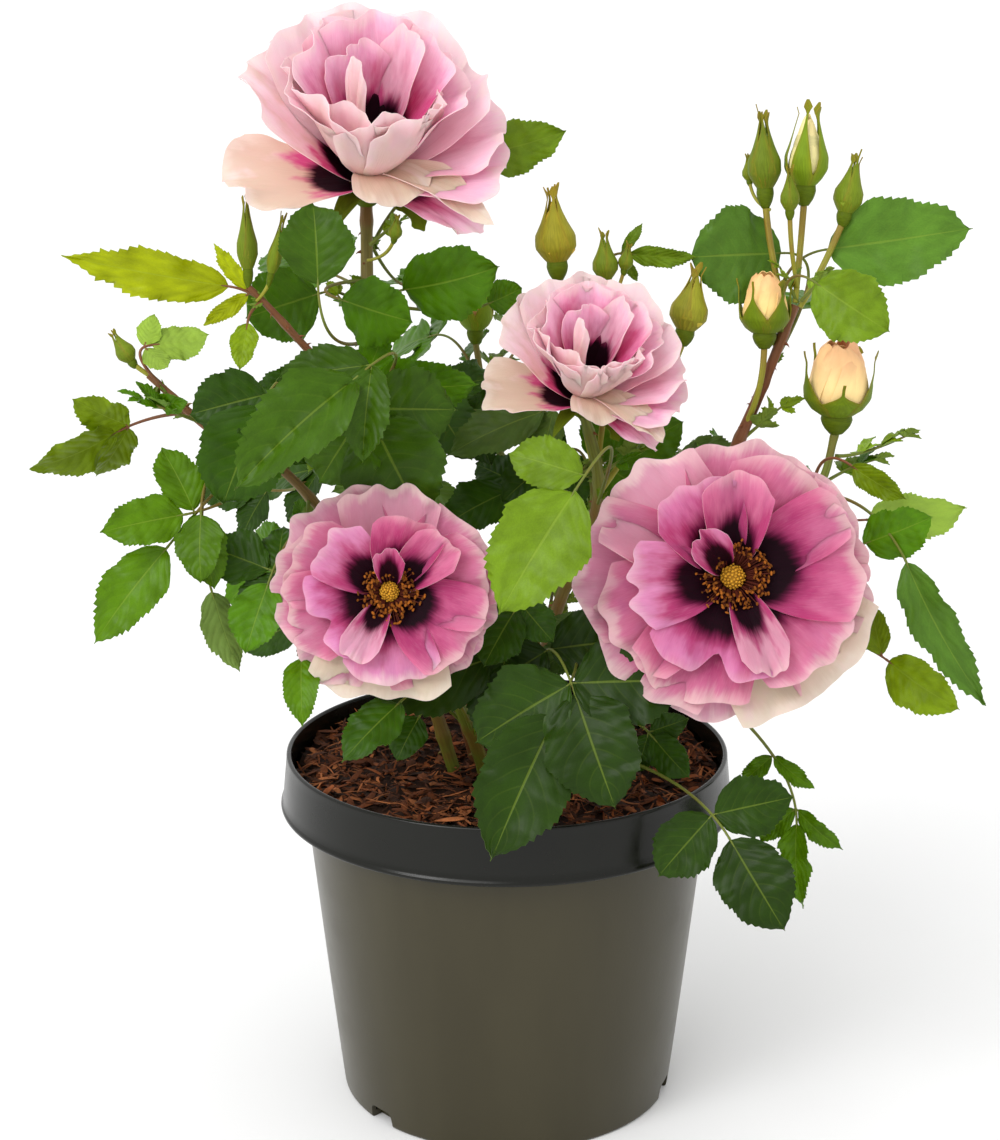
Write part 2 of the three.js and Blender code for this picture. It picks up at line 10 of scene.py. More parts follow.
import bpy
import numpy as np
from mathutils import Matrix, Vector


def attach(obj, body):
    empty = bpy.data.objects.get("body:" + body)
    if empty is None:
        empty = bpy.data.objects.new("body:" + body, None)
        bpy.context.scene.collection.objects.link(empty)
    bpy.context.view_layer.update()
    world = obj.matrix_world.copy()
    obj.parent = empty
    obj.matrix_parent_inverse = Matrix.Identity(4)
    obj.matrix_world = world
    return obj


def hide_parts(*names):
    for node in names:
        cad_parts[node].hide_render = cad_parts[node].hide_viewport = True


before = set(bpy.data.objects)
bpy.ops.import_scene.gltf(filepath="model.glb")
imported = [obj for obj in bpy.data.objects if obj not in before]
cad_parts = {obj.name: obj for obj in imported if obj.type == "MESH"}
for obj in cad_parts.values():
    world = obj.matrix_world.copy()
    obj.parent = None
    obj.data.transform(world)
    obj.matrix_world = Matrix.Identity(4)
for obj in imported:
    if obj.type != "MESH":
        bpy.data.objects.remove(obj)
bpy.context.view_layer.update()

MM = 0.001
BODY = "root"
UP = np.array([0.0, 0.0, 1.0])
TURN = 2 * math.pi
GOLDEN_ANGLE = 2.399963


# ---------------------------------------------------------------- small helpers


def unit(vector):
    return vector / np.linalg.norm(vector)


def heading_of(azimuth, elevation):
    """The direction at that azimuth from +X and that elevation above the floor, in degrees."""
    across, up = math.radians(azimuth), math.radians(elevation)
    out = math.cos(up)
    return np.array([out * math.cos(across), out * math.sin(across), math.sin(up)])


def turned(vector, axis, angle):
    """The vector turned about a unit axis by an angle in radians."""
    cosine, sine = math.cos(angle), math.sin(angle)
    return vector * cosine + np.cross(axis, vector) * sine + axis * (axis @ vector) * (1 - cosine)


def level_over(heading):
    """The unit vector at right angles to a heading that points most nearly up."""
    return unit(UP - heading * heading[2])


def eased(values, low, high):
    """0 up to low, 1 from high on, and a smooth step between them."""
    share = np.clip((values - low) / (high - low), 0, 1)
    return share * share * (3 - 2 * share)


def hump(values, centre, width):
    """A smooth bump of height 1."""
    return np.exp(-(((values - centre) / width) ** 2))


def tone(red, green, blue_sheen):
    """A linear colour from its 0 to 255 screen values."""
    screen = np.array([red, green, blue_sheen]) / 255
    return np.where(screen <= 0.04045, screen / 12.92, ((screen + 0.055) / 1.055) ** 2.4)


def lengths_of(path):
    """Distances from each point of a path to the next."""
    return np.linalg.norm(np.diff(path, axis=0), axis=1)


def arc_points(points, count):
    """The smooth curve through a few points, as count points at even distances along it."""
    points = np.array(points, float)
    padded = np.vstack([2 * points[0] - points[1], points, 2 * points[-1] - points[-2]])
    fine = []
    for index in range(len(points) - 1):
        before, start, end, after = padded[index:index + 4]
        share = np.linspace(0, 1, 24, endpoint=False)[:, None]
        fine.append(
            start
            + 0.5 * share * (end - before)
            + share ** 2 * (before - 2.5 * start + 2 * end - 0.5 * after)
            + share ** 3 * (1.5 * (start - end) + 0.5 * (after - before))
        )
    fine = np.vstack([*fine, points[-1:]])
    reached = np.concatenate([[0], np.cumsum(lengths_of(fine))])
    wanted = np.linspace(0, reached[-1], count)
    return np.stack([np.interp(wanted, reached, fine[:, axis]) for axis in range(3)], 1)


def bezier(start, bend, end, count):
    """count points of the curve that leaves start towards bend and comes in to end from it."""
    share = np.linspace(0, 1, count)[:, None]
    return (1 - share) ** 2 * start + 2 * share * (1 - share) * bend + share ** 2 * end


def sheet(along, across):
    """Two grids: each point's value along the sheet, and its value across it."""
    return np.meshgrid(along, across, indexing="ij")


def walk(share, long, angles):
    """How far out and how far up a bent strip gets, at each share of its length."""
    step = np.diff(share, prepend=0) * long
    return np.cumsum(step * np.cos(angles)), np.cumsum(step * np.sin(angles))


def placed(origin, axes, amounts):
    """The points that lie those amounts along the three axes from an origin."""
    points = origin
    for axis, amount in zip(axes, amounts):
        points = points + amount[..., None] * axis
    return points


# ---------------------------------------------------------------- joined meshes


class Heap:
    """Many small closed meshes, gathered to become one piece.

    place holds, for each point, where it lies on its own petal, leaf or tube; tint is the plain
    colour that the petal, leaf or tube was dealt. maps holds places in the piece's baked map.
    """

    def __init__(self):
        self.points, self.place, self.tint, self.maps, self.quads, self.tris = [], [], [], [], [], []
        self.count = 0

    def add(self, points, quads, tris, place, tint, maps=None):
        points = np.asarray(points, float).reshape(-1, 3)
        self.points.append(points)
        self.place.append(np.asarray(place, float).reshape(-1, 3))
        self.tint.append(np.broadcast_to(tint, points.shape))
        if maps is not None:
            self.maps.append(maps)
        self.quads.append(np.asarray(quads, int).reshape(-1, 4) + self.count)
        self.tris.append(np.asarray(tris, int).reshape(-1, 3) + self.count)
        self.count += len(points)

    def piece(self, name, material, slot, replaced=()):
        """Builds the piece, rides it on the body, and hides the CAD nodes that it stands for."""
        points = np.vstack(self.points) * MM
        quads, tris = np.vstack(self.quads), np.vstack(self.tris)
        corners = np.concatenate([quads.ravel(), tris.ravel()])
        sizes = np.concatenate([np.full(len(quads), 4), np.full(len(tris), 3)])
        mesh = bpy.data.meshes.new(name)
        mesh.vertices.add(len(points))
        mesh.vertices.foreach_set("co", points.astype(np.float32).ravel())
        mesh.loops.add(len(corners))
        mesh.loops.foreach_set("vertex_index", corners.astype(np.int32))
        mesh.polygons.add(len(sizes))
        starts = np.concatenate([[0], np.cumsum(sizes)[:-1]])
        mesh.polygons.foreach_set("loop_start", starts.astype(np.int32))
        mesh.update(calc_edges=True)
        mesh.validate()
        for attribute, values in (("place", self.place), ("tint", self.tint)):
            layer = mesh.attributes.new(attribute, "FLOAT_VECTOR", "POINT")
            layer.data.foreach_set("vector", np.vstack(values).astype(np.float32).ravel())
        if self.maps:
            layer = mesh.uv_layers.new(name="OFBake")
            layer.uv.foreach_set("vector", np.vstack(self.maps)[corners].astype(np.float32).ravel())
        mesh.polygons.foreach_set("use_smooth", np.ones(len(sizes), bool))
        mesh.set_sharp_from_angle(angle=math.radians(70))
        mesh.materials.append(material)
        piece = bpy.data.objects.new(name, mesh)
        bpy.context.scene.collection.objects.link(piece)
        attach(piece, BODY)
        if replaced:
            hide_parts(*replaced)


def tile_pair(pair, across):
    """Corner and size of two cells, for a sheet's front and back, of a map that is across cells wide."""
    margin = 0.06 / across
    cells = []
    for number in (2 * pair, 2 * pair + 1):
        column, row = number % across, number // across % across
        cells.append((column / across + margin, row / across + margin, 1 / across - 2 * margin))
    return cells


def add_shell(heap, front, thickness, along, across, tint, cells=(), place=None):
    """A thin closed sheet: a front grid, its back, and a narrow strip between their rims.

    Its front faces the way that along x across points. place is left to be along and across
    themselves, or given as two values for each point of the front.
    """
    rows, columns = front.shape[:2]
    size = rows * columns
    normal = np.cross(np.gradient(front, axis=0), np.gradient(front, axis=1))
    normal /= np.maximum(np.linalg.norm(normal, axis=2, keepdims=True), 1e-9)
    # The rims take their neighbours' normals, because teeth and frills skew their own.
    normal[:, 0], normal[:, -1] = normal[:, 1], normal[:, -2]
    back = front - normal * np.broadcast_to(thickness, (rows, columns))[..., None]
    number = np.arange(size).reshape(rows, columns)
    first = number[:-1, :-1].ravel()
    faces = np.stack([first, first + columns, first + columns + 1, first + 1], 1)
    rim = np.concatenate([number[:, 0], number[-1, 1:], number[-2::-1, -1], number[0, -2:0:-1]])
    after = np.roll(rim, -1)
    strip = np.stack([after, rim, rim + size, after + size], 1)
    # Each back face starts at the same corner as its front, so that both fold along one diagonal.
    quads = np.vstack([faces, faces[:, [0, 3, 2, 1]] + size, strip])
    if place is None:
        place = np.stack([along, across], 2)
    place = np.hstack([place.reshape(size, 2), np.zeros((size, 1))])
    tint = np.broadcast_to(tint, front.shape).reshape(size, 3)
    maps = [
        np.stack([left + wide * np.ravel(across / 2 + 0.5), low + wide * np.ravel(along)], 1)
        for left, low, wide in cells
    ]
    heap.add(
        np.vstack([front.reshape(-1, 3), back.reshape(-1, 3)]), quads, [],
        np.vstack([place, place + [0, 0, 1]]), np.vstack([tint, tint]), np.vstack(maps) if maps else None,
    )


def tube_rings(path, radii, sides):
    """Rings of points round a path, turned as little as possible from one to the next."""
    tangents = np.gradient(path, axis=0)
    tangents /= np.linalg.norm(tangents, axis=1, keepdims=True)
    side = unit(np.cross(tangents[0], UP if abs(tangents[0][2]) < 0.9 else [1.0, 0, 0]))
    angles = np.arange(sides) * TURN / sides
    rings = []
    for centre, tangent, radius in zip(path, tangents, radii):
        side = unit(side - tangent * (side @ tangent))
        spokes = np.outer(np.cos(angles), side) + np.outer(np.sin(angles), np.cross(tangent, side))
        rings.append(centre + spokes * np.reshape(radius, (-1, 1)))
    return np.array(rings)


def capped(rings):
    """Faces round a stack of rings of points, and out to one more point at either end."""
    count, sides = rings.shape[:2]
    ring = np.arange(count * sides).reshape(count, sides)
    onward = np.roll(ring, -1, axis=1)
    quads = np.stack([ring[:-1], onward[:-1], onward[1:], ring[1:]], 2).reshape(-1, 4)
    first, last = ring.size, ring.size + 1
    tris = [[first, onward[0, k], ring[0, k]] for k in range(sides)]
    tris += [[last, ring[-1, k], onward[-1, k]] for k in range(sides)]
    return quads, tris


def add_tube(heap, path, radii, sides, tint):
    """A closed round limb along a path, with a radius at each of its points."""
    rings = tube_rings(path, radii, sides)
    quads, tris = capped(rings)
    count = len(rings)
    reached = np.repeat(np.concatenate([[0], np.cumsum(lengths_of(path))]), sides)
    along = np.repeat(np.linspace(0, 1, count), sides)
    around = np.tile(np.arange(sides) / sides, count)
    place = np.vstack([np.stack([along, around, reached], 1), [[0, 0.5, 0], [1, 0.5, reached[-1]]]])
    heap.add(np.vstack([rings.reshape(-1, 3), path[0], path[-1]]), quads, tris, place, tint)


def add_ball(heap, centre, axis, long, wide, tint, rows, sides):
    """A closed egg along an axis."""
    angles = np.linspace(0, math.pi, rows + 2)[1:-1]
    path = centre - axis * np.cos(angles)[:, None] * long / 2
    add_tube(heap, path, np.sin(angles) * wide / 2, sides, tint)


# ---------------------------------------------------------------- materials


class Wire:
    """A value on its way through a material: each sum of wires and numbers adds a math node."""

    def __init__(self, nodes, socket):
        self.nodes = nodes
        self.socket = socket

    def __add__(self, other):
        return self.nodes.math("ADD", self, other)

    def __sub__(self, other):
        return self.nodes.math("SUBTRACT", self, other)

    def __mul__(self, other):
        return self.nodes.math("MULTIPLY", self, other)

    def __truediv__(self, other):
        return self.nodes.math("DIVIDE", self, other)

    def __pow__(self, other):
        return self.nodes.math("POWER", self, other)

    def __abs__(self):
        return self.nodes.math("ABSOLUTE", self)

    def scaled(self, factor, offset):
        """The value times a factor, plus an offset, in one node."""
        return self.nodes.math("MULTIPLY_ADD", self, factor, offset)


class Nodes:
    """A material being wired: each call adds one node and hands back its output as a wire."""

    def __init__(self, name):
        self.material = bpy.data.materials.new(name)
        self.material.use_nodes = True
        self.tree = self.material.node_tree
        self.shader = self.tree.nodes["Principled BSDF"]

    def put(self, socket, value):
        if isinstance(value, Wire):
            self.tree.links.new(value.socket, socket)
        else:
            socket.default_value = value

    def add(self, kind, inputs, output=0, **settings):
        node = self.tree.nodes.new(kind)
        for name, value in settings.items():
            setattr(node, name, value)
        for key, value in inputs.items():
            self.put(node.inputs[key], value)
        return Wire(self, node.outputs[output])

    def read(self, attribute):
        return self.add("ShaderNodeAttribute", {}, "Vector", attribute_name=attribute)

    def object_place(self):
        return self.add("ShaderNodeTexCoord", {}, "Object")

    def split(self, vector):
        node = self.add("ShaderNodeSeparateXYZ", {0: vector}).socket.node
        return [Wire(self, output) for output in node.outputs]

    def join(self, *values):
        return self.add("ShaderNodeCombineXYZ", dict(enumerate(values)))

    def math(self, operation, *values):
        return self.add("ShaderNodeMath", dict(enumerate(values)), operation=operation)

    def ramp(self, value, low, high, start=0.0, end=1.0):
        inputs = {"Value": value, "From Min": low, "From Max": high, "To Min": start, "To Max": end}
        return self.add("ShaderNodeMapRange", inputs, "Result", interpolation_type="SMOOTHSTEP")

    def noise(self, vector, scale, detail=2.0, roughness=0.5):
        inputs = {"Vector": vector, "Scale": scale, "Detail": detail, "Roughness": roughness}
        return self.add("ShaderNodeTexNoise", inputs, "Fac")

    def mix(self, share, first, second, blend="MIX"):
        first, second = (value if isinstance(value, Wire) else (*value, 1.0) for value in (first, second))
        inputs = {0: share, 6: first, 7: second}
        return self.add("ShaderNodeMix", inputs, 2, data_type="RGBA", blend_type=blend)

    def shade(self, colour, amount):
        """The colour, lighter or darker by an amount that is 1 where nothing changes."""
        return self.mix(1.0, colour, self.join(amount, amount, amount), "MULTIPLY")

    def bump(self, height, strength, distance):
        inputs = {"Height": height, "Strength": strength, "Distance": distance}
        self.put(self.shader.inputs["Normal"], self.add("ShaderNodeBump", inputs))

    def finish(self, colour, roughness, **settings):
        self.put(self.shader.inputs["Base Color"], colour)
        self.put(self.shader.inputs["Roughness"], roughness)
        for name, value in settings.items():
            self.shader.inputs[name.replace("_", " ")].default_value = value
        return self.material


VEIN_PAIRS = 7


def leaf_material():
    """Satin leaf: a paler midrib and side veins, soft mottling, and a paler, duller underside."""
    nodes = Nodes("leaf_green")
    along, across, side = nodes.split(nodes.read("place"))
    tint = nodes.read("tint")
    red, green, _ = nodes.split(tint)
    aside = abs(across)
    phase = nodes.math("FRACT", (aside ** 1.3).scaled(-0.34, along) * VEIN_PAIRS)
    off_vein = abs(phase - 0.5)
    veins = nodes.ramp(off_vein, 0.0, 0.09, 1.0, 0.0) * nodes.ramp(aside, 0.15, 0.95, 0.55, 0.08)
    rib = nodes.ramp(aside / along.scaled(-0.018, 0.038), 0.55, 1.2, 1.0, 0.0)
    spot = nodes.join(along.scaled(3.0, green * 90.0), across * 1.4, red * 70.0)
    mottle = nodes.ramp(nodes.noise(spot, 1.5), 0.3, 0.7, 0.86, 1.14)
    fine = nodes.ramp(nodes.noise(spot, 26.0), 0.3, 0.7, 0.93, 1.07)
    pale = nodes.mix(0.6, tint, tone(150, 172, 60))
    veined = nodes.mix(veins * 0.13, nodes.shade(tint, mottle * fine), pale)
    ribbed = nodes.mix(rib * 0.36, veined, pale)
    under = nodes.mix(0.42, ribbed, tone(134, 160, 78))
    swell = nodes.ramp(off_vein, 0.0, 0.42)
    nodes.bump(fine.scaled(0.25, swell) - rib, 0.3, 0.0005)
    roughness = nodes.ramp(side, 0.0, 1.0, 0.38, 0.6)
    return nodes.finish(nodes.mix(side, ribbed, under), roughness, Specular_IOR_Level=0.14)


def stem_material(name):
    """Smooth young bark: fine lengthwise ridges, and a ruddy blush that comes and goes."""
    nodes = Nodes(name)
    _, around, reached = nodes.split(nodes.read("place"))
    wrap = abs(around - 0.5)
    streak = nodes.noise(nodes.join(reached * 0.03, wrap * 9.0, 0.0), 2.0, 4.0)
    blush = nodes.ramp(nodes.noise(nodes.join(reached, wrap * 14.0, 3.0), 0.045, 3.0), 0.42, 0.62)
    body = nodes.shade(nodes.read("tint"), nodes.ramp(streak, 0.3, 0.7, 0.78, 1.2))
    nodes.bump(streak, 0.35, 0.0006)
    ruddy = nodes.mix(blush * 0.45, body, (0.20, 0.045, 0.015))
    return nodes.finish(ruddy, 0.5, Specular_IOR_Level=0.4)


PLUM = tone(22, 0, 10)
WINE = tone(104, 18, 60)
RIM = tone(246, 220, 206)
# Petal colours: deep near the eye, warm and cool body, pale outer parts, and cream.
OPEN_TONES = (
    tone(168, 56, 104), tone(202, 98, 136), tone(216, 130, 178), tone(216, 154, 170), tone(216, 186, 164),
)
# The cupped blooms are paler pink than the open ones, and their warm and cool tones are lightened further:
# painted light, standing in for the light that passes through the thin petals into the shaded cup.
CUPPED_TONES = (
    tone(206, 74, 128), tone(252, 172, 204), tone(250, 170, 220), tone(250, 214, 222), tone(218, 184, 162),
)


def petal_material(name, tones, spread):
    """A petal: a round dark blotch at its foot, a softly clouded body in fine streaks, a pale rim.

    place holds the distance from the bloom's eye as a share of its radius, the share of the way
    in from the petal's rim, and the side; tint holds the place across the petal, how warm it is,
    and how pale it is. spread is how far the strong colours reach outward.
    """
    deep, warm, cool, blush, cream = tones
    nodes = Nodes(name)
    mix, ramp = nodes.mix, nodes.ramp
    out, inside, side = nodes.split(nodes.read("place"))
    across, warmth, pale = nodes.split(nodes.read("tint"))
    seed = warmth.scaled(40.0, pale * 17.0)
    grain = nodes.join(out * 1.2, across * 5.0, seed)
    streak = nodes.noise(grain, 3.0, 4.0, 0.55)
    fine = nodes.noise(grain, 10.0, 4.0, 0.6)
    cloud = nodes.noise(nodes.join(out, across * 0.8, seed + 7.0), 3.2, 3.0)
    drift = cloud - 0.5
    swing = abs(across) ** 2.2 * 0.34
    spot = out + swing
    feather = drift.scaled(0.10, (streak - 0.5).scaled(0.09, spot))
    reach = drift.scaled(0.9, swing.scaled(0.2, out))
    body = mix(ramp(drift.scaled(0.8, warmth), 0.25, 0.75), cool, warm)
    body = mix(ramp(reach, 0.42 * spread, 0.84 * spread), deep, body)
    body = mix(ramp(reach, 0.80 * spread, 1.3 * spread, 0.0, 0.8), body, blush)
    body = mix(ramp(fine, 0.45, 0.8, 0.0, 0.16), body, blush)
    body = mix(ramp(fine, 0.5, 0.25, 0.0, 0.14), body, deep)
    light = mix(ramp(drift.scaled(0.5, pale), 0.78, 0.98), blush, cream)
    body = mix(pale * ramp(reach, 0.36, 0.60), body, light)
    rim = drift.scaled(1.3, (streak - 0.5).scaled(0.6, inside))
    body = mix(ramp(rim, 0.0, 0.5, 0.42, 0.0) * ramp(out, 0.6, 0.95), body, RIM)
    calm = ramp(pale, 0.5, 1.0, 1.0, 0.1)
    body = mix(ramp(feather, 0.46, 0.61, 0.9, 0.0) * calm, body, WINE)
    body = mix(ramp(feather, 0.42, 0.53, 1.0, 0.0), body, PLUM)
    back = mix(ramp(cloud, 0.35, 0.7, 0.2, 0.8), RIM, blush)
    back = mix(ramp(reach, 0.6, 1.0, 0.0, 0.2), back, warm)
    back = mix(ramp(inside, 0.0, 0.5, 0.1, 0.42), back, tone(232, 142, 150))
    back = mix(ramp(spot, 0.12, 0.42, 0.4, 0.0), back, tone(200, 190, 130))
    nodes.bump(fine.scaled(0.5, streak), 0.3, 0.0006)
    return nodes.finish(
        mix(ramp(side, 0.0, 1.0), body, back), 0.6, Specular_IOR_Level=0.07,
        Subsurface_Weight=0.5, Subsurface_Scale=0.003, Subsurface_Radius=(1.0, 0.55, 0.7),
    )


def plain_living_material(name, roughness, scale, spread):
    """Its own dealt colour, gently clouded: pollen, sepals and bud petals."""
    nodes = Nodes(name)
    along, across, own = nodes.split(nodes.read("place"))
    spot = nodes.join(along * 2.0, across * 3.0, own)
    cloud = nodes.ramp(nodes.noise(spot, scale, 3.0), 0.3, 0.7, 1 - spread, 1 + spread)
    nodes.bump(cloud, 0.3, 0.0004)
    return nodes.finish(nodes.shade(nodes.read("tint"), cloud), roughness, Specular_IOR_Level=0.15)


def pot_material(name, low_tone, high_tone, roughness, gloss):
    """Moulded dark plastic: faint mould grain and flow, with a few soft scuffs."""
    nodes = Nodes(name)
    place = nodes.object_place()
    x, y, z = nodes.split(place)
    flow = nodes.noise(nodes.join(x, y, z * 0.25), 30.0, 3.0)
    scuffs = nodes.ramp(nodes.noise(place, 60.0, 4.0), 0.45, 0.75, 0.0, 0.05)
    nodes.bump(nodes.noise(place, 900.0), 0.12, 0.0002)
    colour = nodes.mix(nodes.ramp(flow, 0.3, 0.7), low_tone, high_tone)
    return nodes.finish(colour, scuffs + roughness, Specular_IOR_Level=gloss)


def soil_material():
    """Coarse fibre: each sliver's own brown, clouded, and rough to the touch."""
    nodes = Nodes("shredded_coir")
    place = nodes.object_place()
    lump = nodes.ramp(nodes.noise(place, 120.0, 3.0), 0.3, 0.7, 0.6, 1.35)
    nodes.bump(nodes.noise(place, 900.0, 4.0), 0.6, 0.0008)
    return nodes.finish(nodes.shade(nodes.read("tint"), lump), 0.9, Specular_IOR_Level=0.25)


# ---------------------------------------------------------------- pot and soil

POT_HEIGHT = 155
POT_FOOT = 72.6
POT_BODY_TOP = 87
POT_BAND_LOW = 131
POT_BAND = 98
POT_LIP = 95.2
POT_WALL = 2
SOIL_LEVEL = 147
DRAIN_AZIMUTHS = (-138, -18, 102)


def arc(centre, radius, start, end, count):
    """Profile points on an arc, angles in degrees."""
    angles = np.radians(np.linspace(start, end, count))
    return [(centre[0] + radius * math.cos(a), centre[1] + radius * math.sin(a)) for a in angles]


def revolved(profile, segments):
    """Points and faces of a profile turned round Z; its ends lie on the axis."""
    inner = np.array(profile[1:-1], float)
    angles = np.arange(segments) * TURN / segments
    x, y = np.outer(inner[:, 0], np.cos(angles)), np.outer(inner[:, 0], np.sin(angles))
    rings = np.stack([x, y, np.repeat(inner[:, 1:], segments, axis=1)], 2)
    ends = [[0, 0, profile[0][1]], [0, 0, profile[-1][1]]]
    return np.vstack([rings.reshape(-1, 3), ends]), *capped(rings)


def plain_object(name, points, faces):
    """An object of its own from points in millimetres and faces."""
    mesh = bpy.data.meshes.new(name)
    mesh.from_pydata((np.asarray(points) * MM).tolist(), [], [list(map(int, face)) for face in faces])
    mesh.update()
    thing = bpy.data.objects.new(name, mesh)
    bpy.context.scene.collection.objects.link(thing)
    return thing


def carve(thing, cutter):
    """Cuts one closed mesh out of another, and drops the cutter."""
    modifier = thing.modifiers.new("cut", "BOOLEAN")
    modifier.object = cutter
    modifier.solver = "EXACT"
    depsgraph = bpy.context.evaluated_depsgraph_get()
    mesh = bpy.data.meshes.new_from_object(thing.evaluated_get(depsgraph))
    thing.modifiers.clear()
    thing.data = mesh
    bpy.data.objects.remove(cutter)


def drain_cutter(azimuth):
    """A round-shouldered block that opens a drain notch in the pot's foot."""
    wide, high, deep, shoulder = 7.5, 7, 6, 2.5
    outline = [(-wide, -4), (wide, -4), (wide - 1, high - shoulder)]
    outline += arc((wide - 1 - shoulder, high - shoulder), shoulder, 20, 90, 4)
    outline += arc((shoulder + 1 - wide, high - shoulder), shoulder, 90, 160, 4)
    outline += [(1 - wide, high - shoulder)]
    count = len(outline)
    points = [(POT_FOOT + out, across, up) for out in (-deep, deep) for across, up in outline]
    faces = [list(range(count))[::-1], [count + k for k in range(count)]]
    faces += [[k, (k + 1) % count, count + (k + 1) % count, count + k] for k in range(count)]
    cosine, sine = math.cos(math.radians(azimuth)), math.sin(math.radians(azimuth))
    points = [(x * cosine - y * sine, x * sine + y * cosine, z) for x, y, z in points]
    return plain_object("drain_cutter", points, faces)


def pot_profile():
    """Radius and height round the pot's wall, from under its floor, over the lip, to its inside."""
    band_top = POT_HEIGHT - 1.1
    wall = [
        (POT_FOOT + (POT_BODY_TOP - POT_FOOT) * share ** 0.96, 1.6 + (POT_BAND_LOW - 2.4) * share)
        for share in np.linspace(0.01, 1, 24)
    ]
    band_rise = band_top - POT_BAND_LOW - 4
    band = [
        (POT_BAND - 0.9 + (POT_LIP + 0.9 - POT_BAND) * share, POT_BAND_LOW + 3 + band_rise * share)
        for share in np.linspace(0, 1, 8)
    ]
    return [
        (0, 1.2), (POT_FOOT - 9, 1.2), (POT_FOOT - 8, 0.2), (POT_FOOT - 7, 0), (POT_FOOT - 1.8, 0),
        *arc((POT_FOOT - 1.6, 1.6), 1.6, -80, -5, 5),
        *wall,
        (POT_BODY_TOP + 0.9, POT_BAND_LOW - 0.2), (POT_BAND - 2.4, POT_BAND_LOW - 0.1),
        *arc((POT_BAND - 1.2, POT_BAND_LOW + 1.2), 1.2, -85, 55, 8),
        *band,
        *arc((POT_LIP - 1.1, band_top), 1.1, 0, 180, 9),
        (POT_LIP - 2.6, POT_HEIGHT - 6), (POT_LIP - 3.4, POT_BAND_LOW + 5),
        (POT_BODY_TOP - POT_WALL, POT_BAND_LOW + 1), (POT_FOOT - POT_WALL, 3), (0, 3),
    ]


def make_pot():
    """The whole pot: rounded foot, plain wall, ledge and bead under a tall band, and a rolled lip."""
    points, quads, tris = revolved(pot_profile(), 160)
    pot = plain_object("pot_moulded", points, [*quads, *tris])
    for azimuth in DRAIN_AZIMUTHS:
        carve(pot, drain_cutter(azimuth))
    mesh = pot.data
    mesh.polygons.foreach_set("use_smooth", np.ones(len(mesh.polygons), bool))
    mesh.set_sharp_from_angle(angle=math.radians(38))
    mesh.materials.clear()
    mesh.materials.append(pot_material("moulded_olive", tone(50, 45, 24), tone(56, 51, 30), 0.30, 0.36))
    mesh.materials.append(pot_material("moulded_band", tone(7, 8, 2), tone(10, 11, 4), 0.24, 0.29))
    for face in mesh.polygons:
        face.material_index = int(face.center.z > POT_BAND_LOW * MM - 0.001)
    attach(pot, BODY)
    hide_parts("pot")


def soil_height(x, y):
    """Height of the heaped fibre: lumpy, and a little lower towards the wall."""
    lumps = (
        1.3 * np.sin(x * 0.16 + 1.0) * np.sin(y * 0.19 + 0.4)
        + 0.9 * np.sin(x * 0.37 + y * 0.21)
        + 0.7 * np.sin(y * 0.43 - x * 0.29 + 2.0)
        + 0.5 * np.sin(x * 0.83 + 0.7) * np.sin(y * 0.77)
    )
    return SOIL_LEVEL + lumps - 1.2 * eased(np.hypot(x, y), 62, 91)


SLIVERS = 3300
CHIP_SHARE = 0.34
FIBRE_RADIUS = 90.8
COIR_TONES = [tone(92, 48, 24), tone(122, 66, 34), tone(70, 36, 18), tone(148, 88, 50), tone(52, 28, 15)]


def add_sliver(heap, rng):
    """One sliver or broad chip of fibre, lying on the bed and kept inside the pot's wall."""
    radius = 90 * math.sqrt(rng.random())
    azimuth = rng.random() * TURN
    spot = np.array([radius * math.cos(azimuth), radius * math.sin(azimuth), 0])
    spot[2] = soil_height(spot[0], spot[1]) + rng.uniform(-0.6, 2.2)
    chip = rng.random() < CHIP_SHARE
    length = rng.uniform(4, 13) if chip else rng.uniform(5, 15)
    aim = heading_of(rng.uniform(0, 360), rng.normal(0, 17))
    bow = rng.normal(0, 0.16, 3) * length
    path = bezier(spot - aim * length / 2, spot + bow, spot + aim * length / 2, 4)
    reach = np.hypot(path[:, 0], path[:, 1])
    path[:, :2] *= np.minimum(1, FIBRE_RADIUS / np.maximum(reach, 1))[:, None]
    thick = rng.uniform(0.8, 2.3) if chip else rng.uniform(0.3, 0.7)
    radii = np.outer([0.5, 1, 0.9, 0.25], [1, rng.uniform(0.25, 0.5), 1, rng.uniform(0.25, 0.5)]) * thick
    add_tube(heap, path, radii, 4, COIR_TONES[rng.integers(len(COIR_TONES))] * rng.uniform(0.75, 1.3))


def make_soil():
    """The fibre bed with thousands of shredded slivers and chips lying on it."""
    rng = np.random.default_rng(11)
    heap = Heap()
    rings = [(radius, 0.0) for radius in np.linspace(2, 91, 46)[::-1]]
    points, quads, tris = revolved([(0, 120), (60, 120), (82, 120), (90.5, 137), *rings, (0, 0)], 120)
    top = points[:, 2] < 100
    points[top, 2] = soil_height(points[top, 0], points[top, 1]) - 0.6
    heap.add(points, quads, tris, np.zeros((len(points), 3)), tone(40, 21, 11))
    for _ in range(SLIVERS):
        add_sliver(heap, rng)
    heap.piece("soil_fibre", soil_material(), "soil", ["soil"])


# ---------------------------------------------------------------- canes and boughs

# Each bloom as in the frame: centre, depth along its axis, azimuth and elevation it faces.
BLOOMS = {
    "bloom_top": {"at": np.array([-55, -3, 421]), "depth": 76, "facing": (-80, 60)},
    "bloom_middle": {"at": np.array([33, -30, 331]), "depth": 52, "facing": (-78, 60)},
    "bloom_right": {"at": np.array([83, -86, 256]), "depth": 38, "facing": (-88, 18)},
    "bloom_left": {"at": np.array([-47, -86, 250]), "depth": 34, "facing": (-90, 18)},
}


def foot_of(name):
    """The foot of a bloom, a little inside it, where its cane ends."""
    bloom = BLOOMS[name]
    return bloom["at"] + heading_of(*bloom["facing"]) * (2 - bloom["depth"] / 2)


